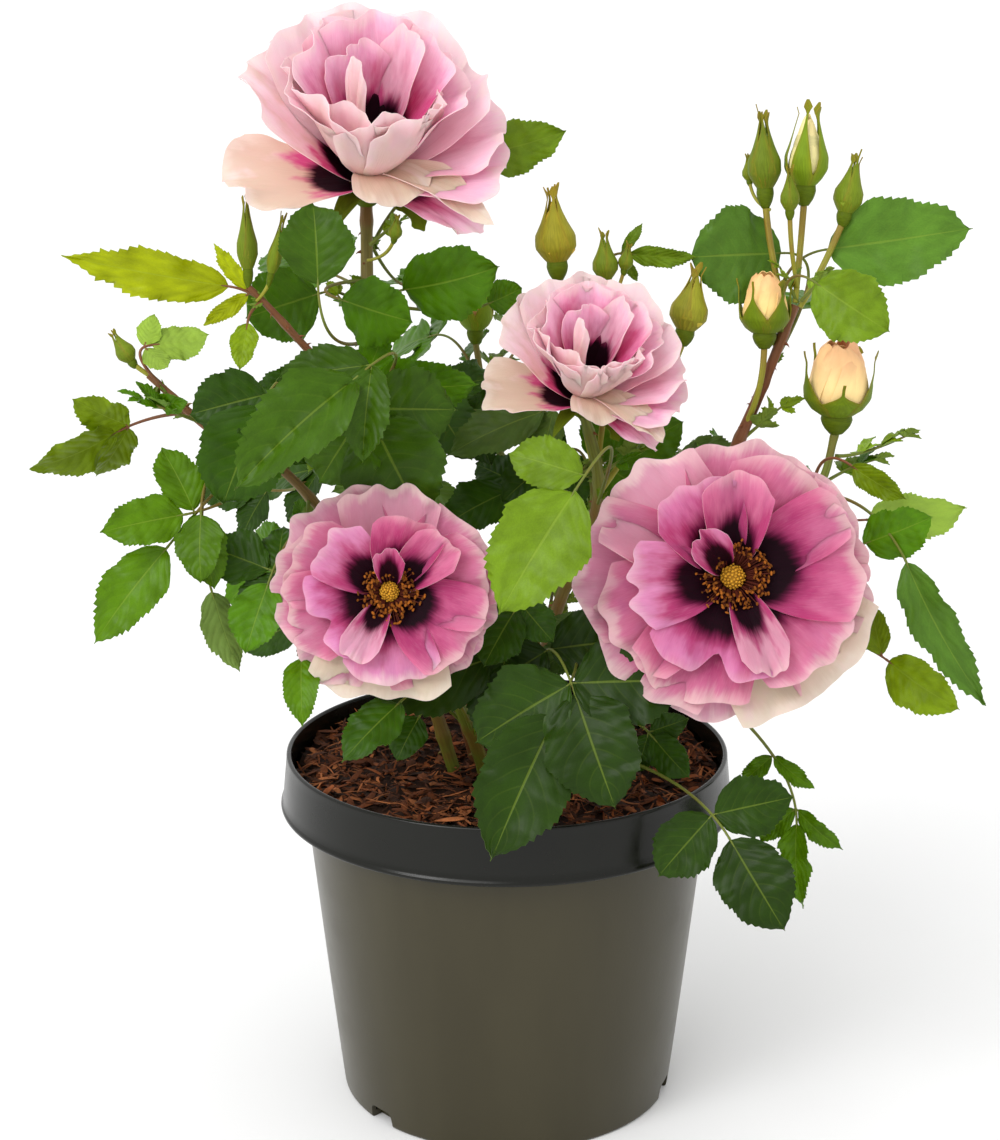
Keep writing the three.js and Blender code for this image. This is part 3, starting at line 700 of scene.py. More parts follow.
RUDDY, GREEN_STEM, PRICKLE_RED = tone(122, 78, 44), tone(104, 118, 34), tone(140, 70, 40)
# Path, radius at foot and tip, colour at foot and tip.
CANES = {
    "cane_top_bloom": (
        [(-10, 0, 138), (-30, 2, 215), (-51, 0, 285), (-57, 0, 325), foot_of("bloom_top")],
        (3.6, 2.5), (RUDDY, tone(112, 104, 40)),
    ),
    "cane_right": (
        [(16, 8, 138), (46, 12, 200), (80, 11, 250), (102, 11, 298), (120, 14, 345)],
        (3.6, 2.0), (RUDDY, RUDDY),
    ),
    "cane_left": (
        [(-20, -8, 138), (-44, -18, 215), (-86, -28, 279), (-118, -30, 300), (-144, -30, 324)],
        (3.0, 1.5), (GREEN_STEM, RUDDY),
    ),
    "cane_middle_bloom": (
        [(5, 8, 138), (20, 6, 210), (38, -2, 265), foot_of("bloom_middle")],
        (3.2, 2.2), (RUDDY, GREEN_STEM),
    ),
    "cane_right_bloom": (
        [(12, -8, 138), (32, -26, 185), (62, -48, 222), foot_of("bloom_right")],
        (3.2, 2.4), (GREEN_STEM, GREEN_STEM),
    ),
    "cane_left_bloom": (
        [(-6, -12, 138), (-20, -34, 185), (-40, -56, 222), foot_of("bloom_left")],
        (3.0, 2.3), (GREEN_STEM, GREEN_STEM),
    ),
    "bough_upper_left": (
        [(-54, 0, 300), (-73, -9, 321), (-97, -17, 350), (-104, -20, 358)],
        (1.9, 1.3), (RUDDY, RUDDY),
    ),
    "bough_far_right": (
        [(78, 11, 247), (105, 4, 257), (129, -5, 271), (137, -1, 295)],
        (2.3, 1.6), (GREEN_STEM, GREEN_STEM),
    ),
    "bough_back": (
        [(24, 6, 215), (14, 34, 245), (-6, 62, 278), (-14, 74, 319)],
        (2.4, 1.4), (GREEN_STEM, GREEN_STEM),
    ),
}
CANE_SIDES = 18
PRICKLES_FROM = 152


def on_cane(name, share):
    """The point at a share of a cane's length."""
    return arc_points(CANES[name][0], 200)[int(round(share * 199))]


def add_prickle(heap, foot, out, along, size, tint):
    """One hooked prickle, flattened, its tip bent down towards the cane's foot."""
    tip = foot + out * size - along * size * 0.55
    path = bezier(foot - out * 0.4, foot + out * size * 0.75, tip, 5)
    radii = np.outer([1, 0.72, 0.42, 0.2, 0.05], [0.42, 0.22] * 4) * size * 0.9
    add_tube(heap, path, radii, 8, tint)


def make_canes():
    """Each cane with swollen nodes and low ridges, its colour turning on the way up."""
    canes, prickles = Heap(), Heap()
    rng = np.random.default_rng(5)
    for points, (foot, tip), (low_colour, high_colour) in CANES.values():
        length = lengths_of(arc_points(points, 60)).sum()
        steps = int(length / 1.6)
        path = arc_points(points, steps)
        share = np.linspace(0, 1, steps)
        swelling = np.zeros(steps)
        for node in np.arange(0.12, 1, 24 / length):
            swelling += 0.16 * np.exp(-(((share - node - rng.uniform(-0.01, 0.01)) * length / 2.6) ** 2))
        across = np.arange(CANE_SIDES) * 2.1
        ridges = 1 + 0.035 * np.sin(np.outer(share * length * 0.11, np.ones(CANE_SIDES)) + across)
        radii = ((foot + (tip - foot) * share) * (1 + swelling))[:, None] * ridges
        high = np.concatenate([np.repeat(share, CANE_SIDES), [0, 1]])[:, None]
        add_tube(canes, path, radii, CANE_SIDES, low_colour * (1 - high) + high_colour * high)
        tangents = np.gradient(path, axis=0)
        colour = low_colour * 0.6 + PRICKLE_RED * 0.4
        for reach in np.arange(14, length - 12, 7.5):
            at = int((reach + rng.uniform(-3, 3)) / length * (steps - 1))
            if path[at][2] < PRICKLES_FROM:
                continue
            along = unit(tangents[at])
            side = unit(np.cross(along, [math.cos(reach * 2.4), math.sin(reach * 2.4), 0.1]))
            seat = path[at] + side * radii[at].mean() * 0.9
            add_prickle(prickles, seat, side, along, rng.uniform(1.4, 2.6), colour)
    canes.piece("canes_bark", stem_material("bark_green_red"), "cane", list(CANES))
    prickles.piece("prickles", stem_material("prickle_red"), "cane")


# ---------------------------------------------------------------- leaves

TINTS = {
    "dim": tone(34, 58, 2),
    "dark": tone(42, 72, 3),
    "deep": tone(54, 84, 6),
    "mid": tone(70, 112, 2),
    "lime": tone(72, 108, 0),
    "bright": tone(96, 124, 18),
    "light": tone(136, 168, 40),
    "young": tone(108, 132, 6),
    "yellow": tone(158, 170, 0),
    "grey": tone(74, 100, 36),
    # This tint is partly the leaves' own blue-green and partly a painted bluish reflection on their gloss.
    "blue_sheen": tone(80, 118, 34),
}
TINT_NAMES = list(TINTS)
RUDDY_STALKED = ("young", "yellow", "light")
SHADES = (0.86, 1.0, 1.14)
LEAF_TILES = 9  # its square is at least two cells for each tint in each shade
USUAL_LEAF = {
    "wide": 0.7, "leaflets": 3, "spread": 65, "pair": 0.75, "gap": 0.13, "fold": 14, "droop": 24,
    "sides": (-1, 1),
}
# Where pairs of leaflets stand behind the end leaflet, in its lengths, and their size beside the first.
LEAFLET_PAIRS = {1: [], 3: [(0, 1.0)], 5: [(0, 1.0), (0.67, 0.85)]}
# Leaf columns from one margin to the other, as shares of the half width.
LEAF_COLUMNS = np.array([-1, -0.68, -0.3, 0, 0.3, 0.68, 1.0])
LEAF_THICKNESS = np.where(np.abs(LEAF_COLUMNS) < 1, 0.3, 0.2)


def leaf(at, azimuth, elevation, turn, long, tint, **more):
    """One compound leaf: where its end leaflet starts, the way it points, how far its blade is
    turned about that way, the end leaflet's length, its tint, and what else differs."""
    row = {"at": np.array(at, float), "azimuth": azimuth, "elevation": elevation, "turn": turn}
    return {**USUAL_LEAF, **row, "long": long, "tint": tint, **more}


def full_leaf(*row):
    """A leaf of five leaflets, as they fill the sides and back."""
    return leaf(*row, leaflets=5, wide=0.62, pair=0.8, spread=62)


def add_leaflet(heap, base, axes, long, wide, tint, rng, fold=14, droop=24, teeth=17, blunt=0.78):
    """One toothed leaflet: folded along its midrib, drooping, swollen between its side veins."""
    rows = 2 * teeth + 3
    share = np.linspace(0, 1, rows)
    along, across = sheet(share, LEAF_COLUMNS)
    spread = np.abs(across)
    outline = share ** 0.62 * (1 - share) ** blunt
    half = np.maximum(0.5 * wide * long * outline / outline.max(), 0.22)
    tooth = np.zeros(rows)
    tooth[2:-2:2] = rng.uniform(0.5, 1.4, len(tooth[2:-2:2]))
    tooth *= np.clip((1 - share) / 0.22, 0, 1)
    bulge = rng.uniform(0, TURN, 3)
    margins = 0.05 * np.sin(11 * along + bulge[0] + bulge[1] * (across > 0))
    margins += 0.03 * np.sin(27 * along + bulge[2])
    aside = across * half[:, None] * (1 + margins)
    reach = along * long
    pitch = long / rows
    for column, sign in ((0, -1), (-1, 1)):
        reach[:, column] += tooth * pitch * 0.68 - (1 - (tooth > 0)) * pitch * 0.12
        aside[:, column] += sign * tooth * pitch * 0.55
    reach[-1] = long * (1 + 0.03 * (1 - np.abs(LEAF_COLUMNS)))
    slope = math.tan(math.radians(fold * rng.uniform(0.7, 1.3)))
    bend = math.radians(droop * rng.uniform(0.6, 1.4))
    phase = rng.uniform(0, TURN, 4)
    lift = np.abs(aside) * slope * (1 - 0.35 * spread)
    waves = np.sin(TURN * (along * rng.uniform(1.2, 2.0)) + phase[0] + (across > 0) * phase[1])
    lift += long * 0.026 * waves * spread ** 2
    lift += long * 0.016 * np.sin(TURN * along * 3.3 + phase[2]) * across
    lift += long * 0.010 * np.sin(TURN * along * 5.7 + phase[3] + across) * spread ** 2
    vein = (VEIN_PAIRS * (along - 0.34 * spread ** 1.3)) % 1
    lift += long * 0.008 * eased(np.abs(vein - 0.5), 0, 0.42) * (1 - spread ** 3) * eased(spread, 0, 0.2)
    roll = rng.normal(0, 0.12) * along
    angles = bend * (share ** 1.2 - 0.25)
    forward, sunk = walk(share, long, angles)
    tilt = angles[:, None]
    rolled_aside = aside * np.cos(roll) - lift * np.sin(roll)
    rolled_lift = aside * np.sin(roll) + lift * np.cos(roll)
    ahead = forward[:, None] + (reach - along * long) + rolled_lift * np.sin(tilt)
    above = rolled_lift * np.cos(tilt) - sunk[:, None]
    front = placed(base, axes, (ahead, above, rolled_aside))
    shade = int(rng.integers(len(SHADES)))
    cells = tile_pair(TINT_NAMES.index(tint) * len(SHADES) + shade, LEAF_TILES)
    add_shell(heap, front, LEAF_THICKNESS, along, across, TINTS[tint] * SHADES[shade], cells)


def aimed(axes, swing, dip, tip_over=0.0):
    """The axes swung aside in the leaf's plane, dipped under it, and rolled outward."""
    heading, normal, _ = axes
    out = turned(heading, normal, math.radians(swing))
    edge = np.cross(normal, out)
    out = turned(out, edge, math.radians(dip))
    up = turned(turned(normal, edge, math.radians(dip)), out, math.radians(tip_over))
    return out, up, np.cross(up, out)


def add_compound_leaf(blades, stalks, row, root, rng, stem_tint):
    """A stalk from its root with stipules at its foot, an end leaflet, and pairs along it."""
    heading = heading_of(row["azimuth"], row["elevation"])
    normal = turned(level_over(heading), heading, math.radians(row["turn"]))
    side = np.cross(normal, heading)
    axes = (heading, normal, side)
    base, long, wide = row["at"], row["long"], row["wide"]
    lead = min(np.linalg.norm(base - root) * 0.5, long * 0.9)
    path = bezier(root, base - heading * lead, base, 26)
    add_tube(stalks, path, np.linspace(0.85, 0.5, 26), 8, stem_tint)
    into_blade = base + heading * np.linspace(-0.5, 4, 5)[:, None]
    add_tube(stalks, into_blade, np.linspace(0.6, 0.35, 5), 6, stem_tint)
    style = {"fold": row["fold"], "droop": row["droop"]}
    blunt = 1.14 - 0.5 * wide
    add_leaflet(blades, base + heading * 1.2, axes, long, wide, row["tint"], rng, blunt=blunt, **style)
    steps = lengths_of(path[::-1])
    for behind, scale in LEAFLET_PAIRS[row["leaflets"]]:
        at = int(np.searchsorted(np.cumsum(steps), (row["gap"] + behind) * long))
        foot = path[::-1][min(at, 24)]
        size = long * row["pair"] * scale
        for sign in row["sides"]:
            swing = sign * row["spread"] * rng.uniform(0.92, 1.08)
            swung = aimed(axes, swing, rng.uniform(0, 10), sign * 6)
            short_stalk = foot + swung[0] * np.linspace(-0.4, 2.2, 4)[:, None]
            add_tube(stalks, short_stalk, np.linspace(0.5, 0.35, 4), 6, stem_tint)
            add_leaflet(blades, foot + swung[0], swung, size, wide, row["tint"], rng, teeth=14, **style)
    start = unit(path[2] - path[0])
    for sign in (-1, 1):
        wing = aimed((start, unit(np.cross(side, start)), side), sign * 16, 4)
        add_leaflet(blades, path[1], wing, 7, 0.3, "bright", rng, teeth=3, blunt=1.1)


def add_shoot(blades, stalks, root, heading, long, rng, tints=("bright", "young", "mid")):
    """A young side shoot: a short twig with a few small folded leaves along it."""
    bend = root + heading * long * 0.5 + rng.normal(0, 0.08, 3) * long
    path = bezier(root, bend, root + heading * long, 12)
    add_tube(stalks, path, np.linspace(0.9, 0.45, 12), 7, GREEN_STEM)
    broad = rng.uniform(0.42, 0.56)
    for place in (0.45, 0.72, 1.0):
        foot = path[int(round(place * 11))]
        azimuth = rng.uniform(0, 360)
        out = unit(heading * 0.8 + heading_of(azimuth, rng.uniform(5, 50)) * 0.9)
        level = turned(level_over(out), out, rng.uniform(-0.8, 0.8))
        axes = (out, level, np.cross(level, out))
        tint = tints[rng.integers(len(tints))]
        size = long * rng.uniform(0.4, 0.62) * (1.2 - 0.4 * place)
        add_leaflet(blades, foot, axes, size, broad, tint, rng, fold=26, droop=20, teeth=6)
        for sign in (-1, 1):
            swung = aimed(axes, sign * 48, 4)
            add_leaflet(blades, foot, swung, size * 0.66, broad, tint, rng, fold=26, teeth=4)


# The leaves of each foliage mass, by the piece they are joined in. A mass tells the cane and the share
# of its length where its stalks start, or the point itself, and then its leaves.
FOLIAGE = {
    "leaves_left": {
        "far_left": ("cane_left", 0.94, [
            leaf((-157, -30, 301), -154, -22, -122, 37, "young", wide=0.6, spread=50),
            leaf((-143, -30, 336), 25, 3, -136, 23, "light", pair=0.6),
            leaf((-140, -36, 314), -40, 5, 108, 15, "mid", wide=0.6, leaflets=1),
        ]),
        "upper_left": ("bough_upper_left", 0.87, [
            leaf((-111, -20, 358), -171, 11, -102, 65, "yellow", wide=0.3, spread=45, pair=0.35, droop=10),
            leaf((-104, -26, 345), -100, -50, 0, 20, "young", wide=0.55, leaflets=1),
        ]),
        "left": ("cane_left", 0.79, [
            leaf((-127, -60, 274), -153, -4, -59, 33, "lime", wide=0.6, spread=85, pair=0.9),
            leaf((-134, -65, 262), -152, -46, -51, 46, "lime", wide=0.5, leaflets=1, fold=22),
            leaf((-121, -60, 275), -89, -57, 13, 27, "lime", leaflets=1),
            leaf((-118, -60, 243), -45, -65, -164, 33, "grey", wide=0.5, leaflets=1),
        ]),
        "left_inner": ("cane_left", 0.63, [
            leaf((-94, -60, 251), 160, 15, -47, 30, "dark", wide=0.75, spread=70),
            leaf((-94, -70, 249), -119, -53, -19, 28, "mid", wide=0.75, leaflets=1),
            leaf((-81, -80, 222), -87, -45, 8, 28, "lime", wide=0.5, leaflets=1),
            leaf((-104, 5, 268), 160, 0, -60, 30, "dark"),
        ]),
        "side_left": ("cane_left", 0.4, [
            full_leaf((-82, -4, 216), 175, -28, -50, 34, "dark"),
            full_leaf((-70, 36, 222), 140, -28, -40, 34, "mid"),
        ]),
    },
    "leaves_top": {
        "under_top_bloom": ("cane_top_bloom", 0.81, [
            leaf((-74, -46, 362), 100, 74, 0, 32, "deep", wide=0.88, leaflets=1),
            leaf((-77, 8, 351), -164, -15, -70, 31, "mid", wide=1.0, leaflets=1),
            leaf((-80, 40, 356), 140, 8, -30, 36, "mid"),
        ]),
        "upper_middle": ("cane_top_bloom", 0.87, [
            leaf((-43, -10, 355), -15, 13, 105, 40, "mid", wide=0.78, leaflets=1),
            leaf((-9, -4, 348), 0, 24, 92, 15, "mid", wide=0.95, leaflets=1),
            leaf((-67, -26, 354), -14, -16, 98, 29, "mid", wide=1.0, leaflets=1),
            leaf((-14, 28, 405), -8, 14, 106, 38, "bright", wide=0.6, pair=0.5),
            leaf((-40, 40, 350), 70, 5, 0, 34, "mid"),
        ]),
        "middle_left": ("cane_top_bloom", 0.69, [
            leaf((-97, -45, 315), -136, -59, -41, 41, "dark", wide=0.85, spread=55),
            leaf((-58, -70, 331), -151, -34, -46, 62, "deep", wide=0.5, spread=40, pair=0.6, fold=34),
            leaf((-76, 0, 316), 180, -15, -70, 32, "dark", wide=0.6, leaflets=1),
            leaf((-69, -40, 312), -136, -57, -20, 26, "bright", wide=0.5, leaflets=1),
        ]),
        "middle": ("cane_top_bloom", 0.62, [
            leaf((-55, -20, 317), -14, 3, 99, 42, "mid", wide=0.62, pair=0.6),
            leaf((-54, -50, 311), -38, -56, 58, 43, "deep", wide=0.95, pair=0.8),
            leaf((-16, 34, 296), 20, 0, 60, 34, "dark"),
            leaf((-32, 28, 302), -60, -30, 40, 36, "dark"),
        ]),
        "middle_top": (None, (41, 9, 332), [
            leaf((50, 18, 366), -10, -4, 102, 28, "bright", wide=0.32, spread=60, pair=0.5),
        ]),
    },
    "leaves_front": {
        "centre": ("cane_middle_bloom", 0.75, [
            leaf((16, 10, 301), -166, -19, -44, 44, "grey", wide=0.5, spread=55, pair=0.6),
            leaf((23, 20, 280), 180, -38, -59, 32, "dark"),
            leaf(
                (26, -84, 290), -146, -50, -43, 54, "bright",
                wide=0.68, spread=76, pair=0.56, sides=(-1,),
            ),
            leaf((44, 20, 278), 0, 27, 87, 33, "mid", wide=0.8, spread=60),
            leaf((2, 30, 262), -170, -25, -40, 34, "dark"),
            leaf((36, 42, 248), -10, -20, 70, 34, "dark"),
            leaf((12, 34, 230), -120, -45, -10, 32, "dark"),
        ]),
        "low_front": ("cane_middle_bloom", 0.2, [
            leaf((26, -85, 209), -60, -52, 36, 47, "dim", wide=0.78, leaflets=5, spread=75, pair=0.95),
            leaf((19, -86, 199), -131, -50, -28, 60, "dim", wide=0.6, leaflets=1),
            leaf((4, -60, 236), -140, -49, -28, 26, "dark", wide=0.8),
            leaf((34, -40, 216), -152, -20, -41, 24, "grey"),
        ]),
        "low_left": ("cane_left_bloom", 0.24, [
            leaf((-5, -60, 215), -166, -16, -54, 50, "dim", wide=0.62, spread=60),
            leaf((-42, -80, 203), -137, -28, -31, 33, "dark", wide=0.6, leaflets=1),
            leaf((-36, -40, 183), -129, -44, -20, 20, "dark", wide=0.8, leaflets=1),
        ]),
        "low_right": ("cane_right_bloom", 0.2, [
            leaf((88, -90, 149), -46, -46, 50, 40, "dim", wide=0.74, spread=74, pair=0.8, gap=0.34),
            leaf((59, -50, 178), -40, -37, 71, 22, "dark"),
        ]),
        "trailing": ("cane_right_bloom", 0.66, [
            leaf(
                (121, -42, 137), -84, -80, 44, 37, "lime",
                wide=0.4, leaflets=5, spread=52, pair=0.66, gap=0.2,
            ),
        ]),
    },
    "leaves_right": {
        "right": ("bough_far_right", 0.64, [
            leaf((147, -30, 264), 14, 1, -136, 41, "light", wide=0.55, leaflets=1),
            leaf((142, -50, 259), -23, 26, 102, 29, "mid", wide=0.75, leaflets=1),
            leaf((158, -60, 255), -35, -58, 86, 64, "blue_sheen", wide=0.3, leaflets=1, droop=44),
            leaf((139, -30, 287), -27, -28, 90, 25, "young", wide=0.45, leaflets=1),
            leaf((144, -20, 227), 0, -80, 117, 24, "dark", wide=0.5, leaflets=1),
        ]),
        "right_low": ("cane_right", 0.4, [
            leaf(
                (156, -40, 207), -37, -26, 82, 34, "young",
                wide=0.62, spread=130, pair=0.6, sides=(1,), fold=30,
            ),
            leaf((110, 40, 214), 25, -5, 70, 34, "mid"),
        ]),
        "upper_right": ("cane_right", 0.92, [
            leaf((116, 26, 365), -165, 0, -76, 39, "blue_sheen", wide=1.0, leaflets=1),
            leaf((133, 22, 367), 0, 8, 86, 60, "blue_sheen", wide=0.58, leaflets=1),
            leaf((124, -14, 359), -32, -28, 74, 35, "bright", wide=0.8, leaflets=1, fold=20),
            leaf((126, 50, 338), 70, 5, 0, 32, "mid"),
        ]),
    },
    "leaves_back": {
        "back_upper": ("bough_back", 0.72, [
            full_leaf((-34, 92, 318), 130, -20, -45, 38, "mid"),
            full_leaf((10, 96, 312), 60, -15, 35, 38, "bright"),
            full_leaf((-6, 104, 284), 95, -42, 10, 40, "dark"),
        ]),
        "back_right": ("cane_right", 0.63, [
            full_leaf((104, 72, 260), 50, -20, 45, 40, "mid"),
            full_leaf((76, 88, 262), 85, -35, -25, 40, "dark"),
            full_leaf((128, 48, 250), 20, -35, 50, 36, "mid"),
        ]),
        "back_left": ("cane_top_bloom", 0.41, [
            full_leaf((-84, 52, 266), 150, -20, -45, 38, "dark"),
            full_leaf((-48, 82, 252), 110, -35, 20, 40, "mid"),
            full_leaf((-98, 28, 232), 170, -38, -50, 34, "mid"),
        ]),
        "back_low": ("cane_middle_bloom", 0.3, [
            full_leaf((30, 78, 216), 75, -32, 35, 40, "dark"),
            full_leaf((-18, 74, 202), 110, -32, -35, 38, "dark"),
            full_leaf((72, 60, 196), 40, -32, 45, 38, "dark"),
        ]),
    },
}
# Where side shoots break from the canes: the cane and the shares of its length.
SHOOTS = {
    "cane_top_bloom": (0.28, 0.46, 0.62, 0.78),
    "cane_right": (0.3, 0.48),
    "cane_left": (0.3, 0.5, 0.7, 0.88),
    "cane_middle_bloom": (0.35, 0.6, 0.8),
    "cane_right_bloom": (0.45, 0.75),
    "cane_left_bloom": (0.45, 0.75),
    "bough_back": (0.35, 0.6, 0.85),
    "bough_far_right": (0.35, 0.7),
}
# Shoots that stand clear of the rest: root, azimuth and elevation, length.
CLEAR_SHOOTS = [
    ((137, -1, 284), (0, 16), 30),
    ((99, 11, 288), (-5, 42), 22),
    ((121, 14, 346), (175, 62), 17),
    ((122, 12, 347), (-10, 50), 15),
    ((-56, -1, 372), (20, 35), 16),
    ((37, -6, 300), (10, 55), 22),
]


def make_shoots(blades, stalks):
    """Side shoots by rule along the canes, and then the ones that stand clear."""
    rng = np.random.default_rng(31)
    for cane, shares in SHOOTS.items():
        for share in shares:
            root = on_cane(cane, share)
            azimuth = math.degrees(math.atan2(root[1] + 25, root[0])) + rng.uniform(-50, 50)
            heading = heading_of(azimuth, rng.uniform(15, 60))
            add_shoot(blades, stalks, root, heading, rng.uniform(20, 32), rng)
    for root, way, long in CLEAR_SHOOTS:
        add_shoot(blades, stalks, np.array(root, float), heading_of(*way), long, rng, ("young", "light"))


def make_leaves():
    """One piece of leaves for each side of the plant, one of young shoots, and one of stalks."""
    material = leaf_material()
    rng = np.random.default_rng(23)
    stalks, young = Heap(), Heap()
    for name, masses in FOLIAGE.items():
        blades = Heap()
        for cane, share, leaves in masses.values():
            for index, row in enumerate(leaves):
                if cane:
                    spaced = share + 0.035 * (index - (len(leaves) - 1) / 2)
                    root = on_cane(cane, min(max(spaced, 0.02), 0.99))
                else:
                    root = np.array(share, float)
                stem_tint = RUDDY if row["tint"] in RUDDY_STALKED else GREEN_STEM
                add_compound_leaf(blades, stalks, row, root, rng, stem_tint)
        blades.piece(name, material, "leaf", ["foliage_" + mass for mass in masses])
    make_shoots(young, stalks)
    young.piece("leaves_young", material, "leaf")
    stalks.piece("leaf_stalks", stem_material("stalk_green_red"), "cane")


# ---------------------------------------------------------------- blooms

# cup bends a petal across, ruffle waves its rim, and notch, point and ragged shape its tip. pale
# lightens it, and bare is how far out from the eye it has the colours that it has there.
USUAL_PETAL = {
    "cup": 0.35, "notch": 0.0, "ruffle": 1.0, "pale": 0.1, "point": 0.0, "bare": 0.0, "ragged": 0.0,
}
CLAW = 0.2
PETAL_ROWS = 29
PETAL_COLUMNS = 35
PETAL_TILES = 7  # its square is at least the sides of all the petals of a bloom


def petal(azimuth, reach, half, lifts, height=0.0, **more):
    """One petal: azimuth round the eye, length and half width as shares of the bloom's radius,
    the lift off the bloom's plane at its foot and tip, and the height of its foot."""
    row = {"azimuth": azimuth, "reach": reach, "half": half, "lifts": lifts, "height": height}
    return {**USUAL_PETAL, **row, **more}


# An open bloom seen from the front: outer, middle and inner petals, then narrow petal-like ones.
OPEN_BLOOM = [
    petal(136, 0.98, 0.50, (14, -4), 0.01, pale=0.6, cup=0.6, ruffle=1.4),
    petal(176, 1.03, 0.56, (8, -6), 0.01, pale=0.15),
    petal(224, 1.00, 0.56, (10, -8), 0.02, pale=0.1),
    petal(268, 0.98, 0.54, (6, -10), 0.00, pale=0.5),
    petal(310, 1.00, 0.68, (7, -8), 0.02, pale=1.0, ruffle=0.8),
    petal(350, 0.92, 0.54, (10, -8), 0.01, pale=0.15),
    petal(30, 0.92, 0.54, (12, -6), 0.00, pale=0.15),
    petal(74, 0.92, 0.58, (12, -6), 0.02, pale=0.15),
    petal(205, 0.90, 0.48, (18, -2), 0.03, pale=0.05),
    petal(246, 0.90, 0.48, (18, -4), 0.04, pale=0.05),
    petal(318, 0.86, 0.46, (24, 0), 0.05, pale=0.1),
    petal(54, 0.86, 0.52, (26, 2), 0.04, pale=0.1, ruffle=0.8),
    petal(12, 0.86, 0.52, (26, 0), 0.06, pale=0.0, ruffle=0.7),
    petal(290, 0.74, 0.20, (34, 8), 0.08, pale=0.7, cup=0.8),
    petal(252, 0.72, 0.48, (30, 2), 0.07, pale=0.0, notch=0.22, cup=0.5, ruffle=0.6),
    petal(88, 0.74, 0.28, (38, 10), 0.06, pale=0.1, cup=0.9, ruffle=0.6),
    petal(118, 0.72, 0.36, (34, 6), 0.06, pale=0.0, cup=0.7, ruffle=0.7),
    petal(186, 0.76, 0.34, (36, 6), 0.08, pale=0.15, notch=0.10, ruffle=0.9),
    petal(134, 0.52, 0.16, (66, 36), 0.09, pale=0.2, cup=1.0),
]
# A half-open bloom that faces up: a ring of cupped petals round raised inner ones.
CUPPED_BLOOM = [
    petal(112, 1.22, 0.60, (62, 42), 0.00, pale=0.75),
    petal(68, 1.20, 0.58, (62, 42), 0.02, pale=0.7),
    petal(154, 1.16, 0.56, (46, 40), 0.01, pale=0.84),
    petal(30, 1.10, 0.54, (46, 38), 0.01, pale=0.55, bare=0.62),
    petal(2, 1.02, 0.50, (30, 20), 0.03, pale=0.3, bare=0.7),
    petal(196, 1.04, 0.46, (14, 12), -0.02, pale=1.0, cup=0.6),
    petal(322, 0.94, 0.26, (14, -20), -0.02, pale=0.2, point=0.5, bare=0.3),
    petal(340, 1.00, 0.48, (20, 10), 0.03, pale=0.1, bare=0.75, ruffle=0.6),
    petal(316, 1.08, 0.24, (28, -22), 0.09, pale=1.0, point=0.9, cup=0.9, bare=0.8, ruffle=0.7),
    petal(134, 0.98, 0.50, (72, 56), 0.20, pale=0.1, cup=0.6),
    petal(92, 0.96, 0.50, (74, 62), 0.24, pale=0.0, cup=0.5, ruffle=1.4),
    petal(50, 0.96, 0.50, (72, 54), 0.22, pale=0.0, cup=0.6),
    petal(172, 0.98, 0.46, (62, 50), 0.10, pale=0.6, cup=0.6),
    petal(12, 0.94, 0.46, (58, 42), 0.12, pale=0.1, cup=0.6),
    petal(30, 1.00, 0.25, (66, 82), 0.20, pale=0.35, cup=0.9, ruffle=0.6),
    petal(120, 0.84, 0.30, (70, 84), 0.20, pale=0.2, cup=0.8, ruffle=1.0),
    petal(206, 1.00, 0.42, (50, 70), 0.07, pale=0.7, cup=0.7, ruffle=0.7),
    petal(328, 0.90, 0.30, (50, 66), 0.08, pale=0.7, cup=0.8, ruffle=0.9),
    petal(304, 0.94, 0.36, (40, 82), 0.05, pale=0.8, cup=0.7, ruffle=0.7, ragged=0.02),
    petal(278, 0.92, 0.40, (40, 86), 0.05, pale=0.8, cup=0.8, ruffle=0.6, ragged=0.02),
    petal(238, 0.90, 0.42, (40, 92), 0.08, pale=0.9, cup=0.9, ruffle=0.7, ragged=0.02),
    petal(226, 1.02, 0.11, (68, 94), 0.14, pale=0.95, cup=1.1, ruffle=0.9),
    petal(288, 0.56, 0.34, (40, -24), 0.09, pale=1.0, point=0.3, cup=0.5, bare=0.9, ruffle=0.5),
]


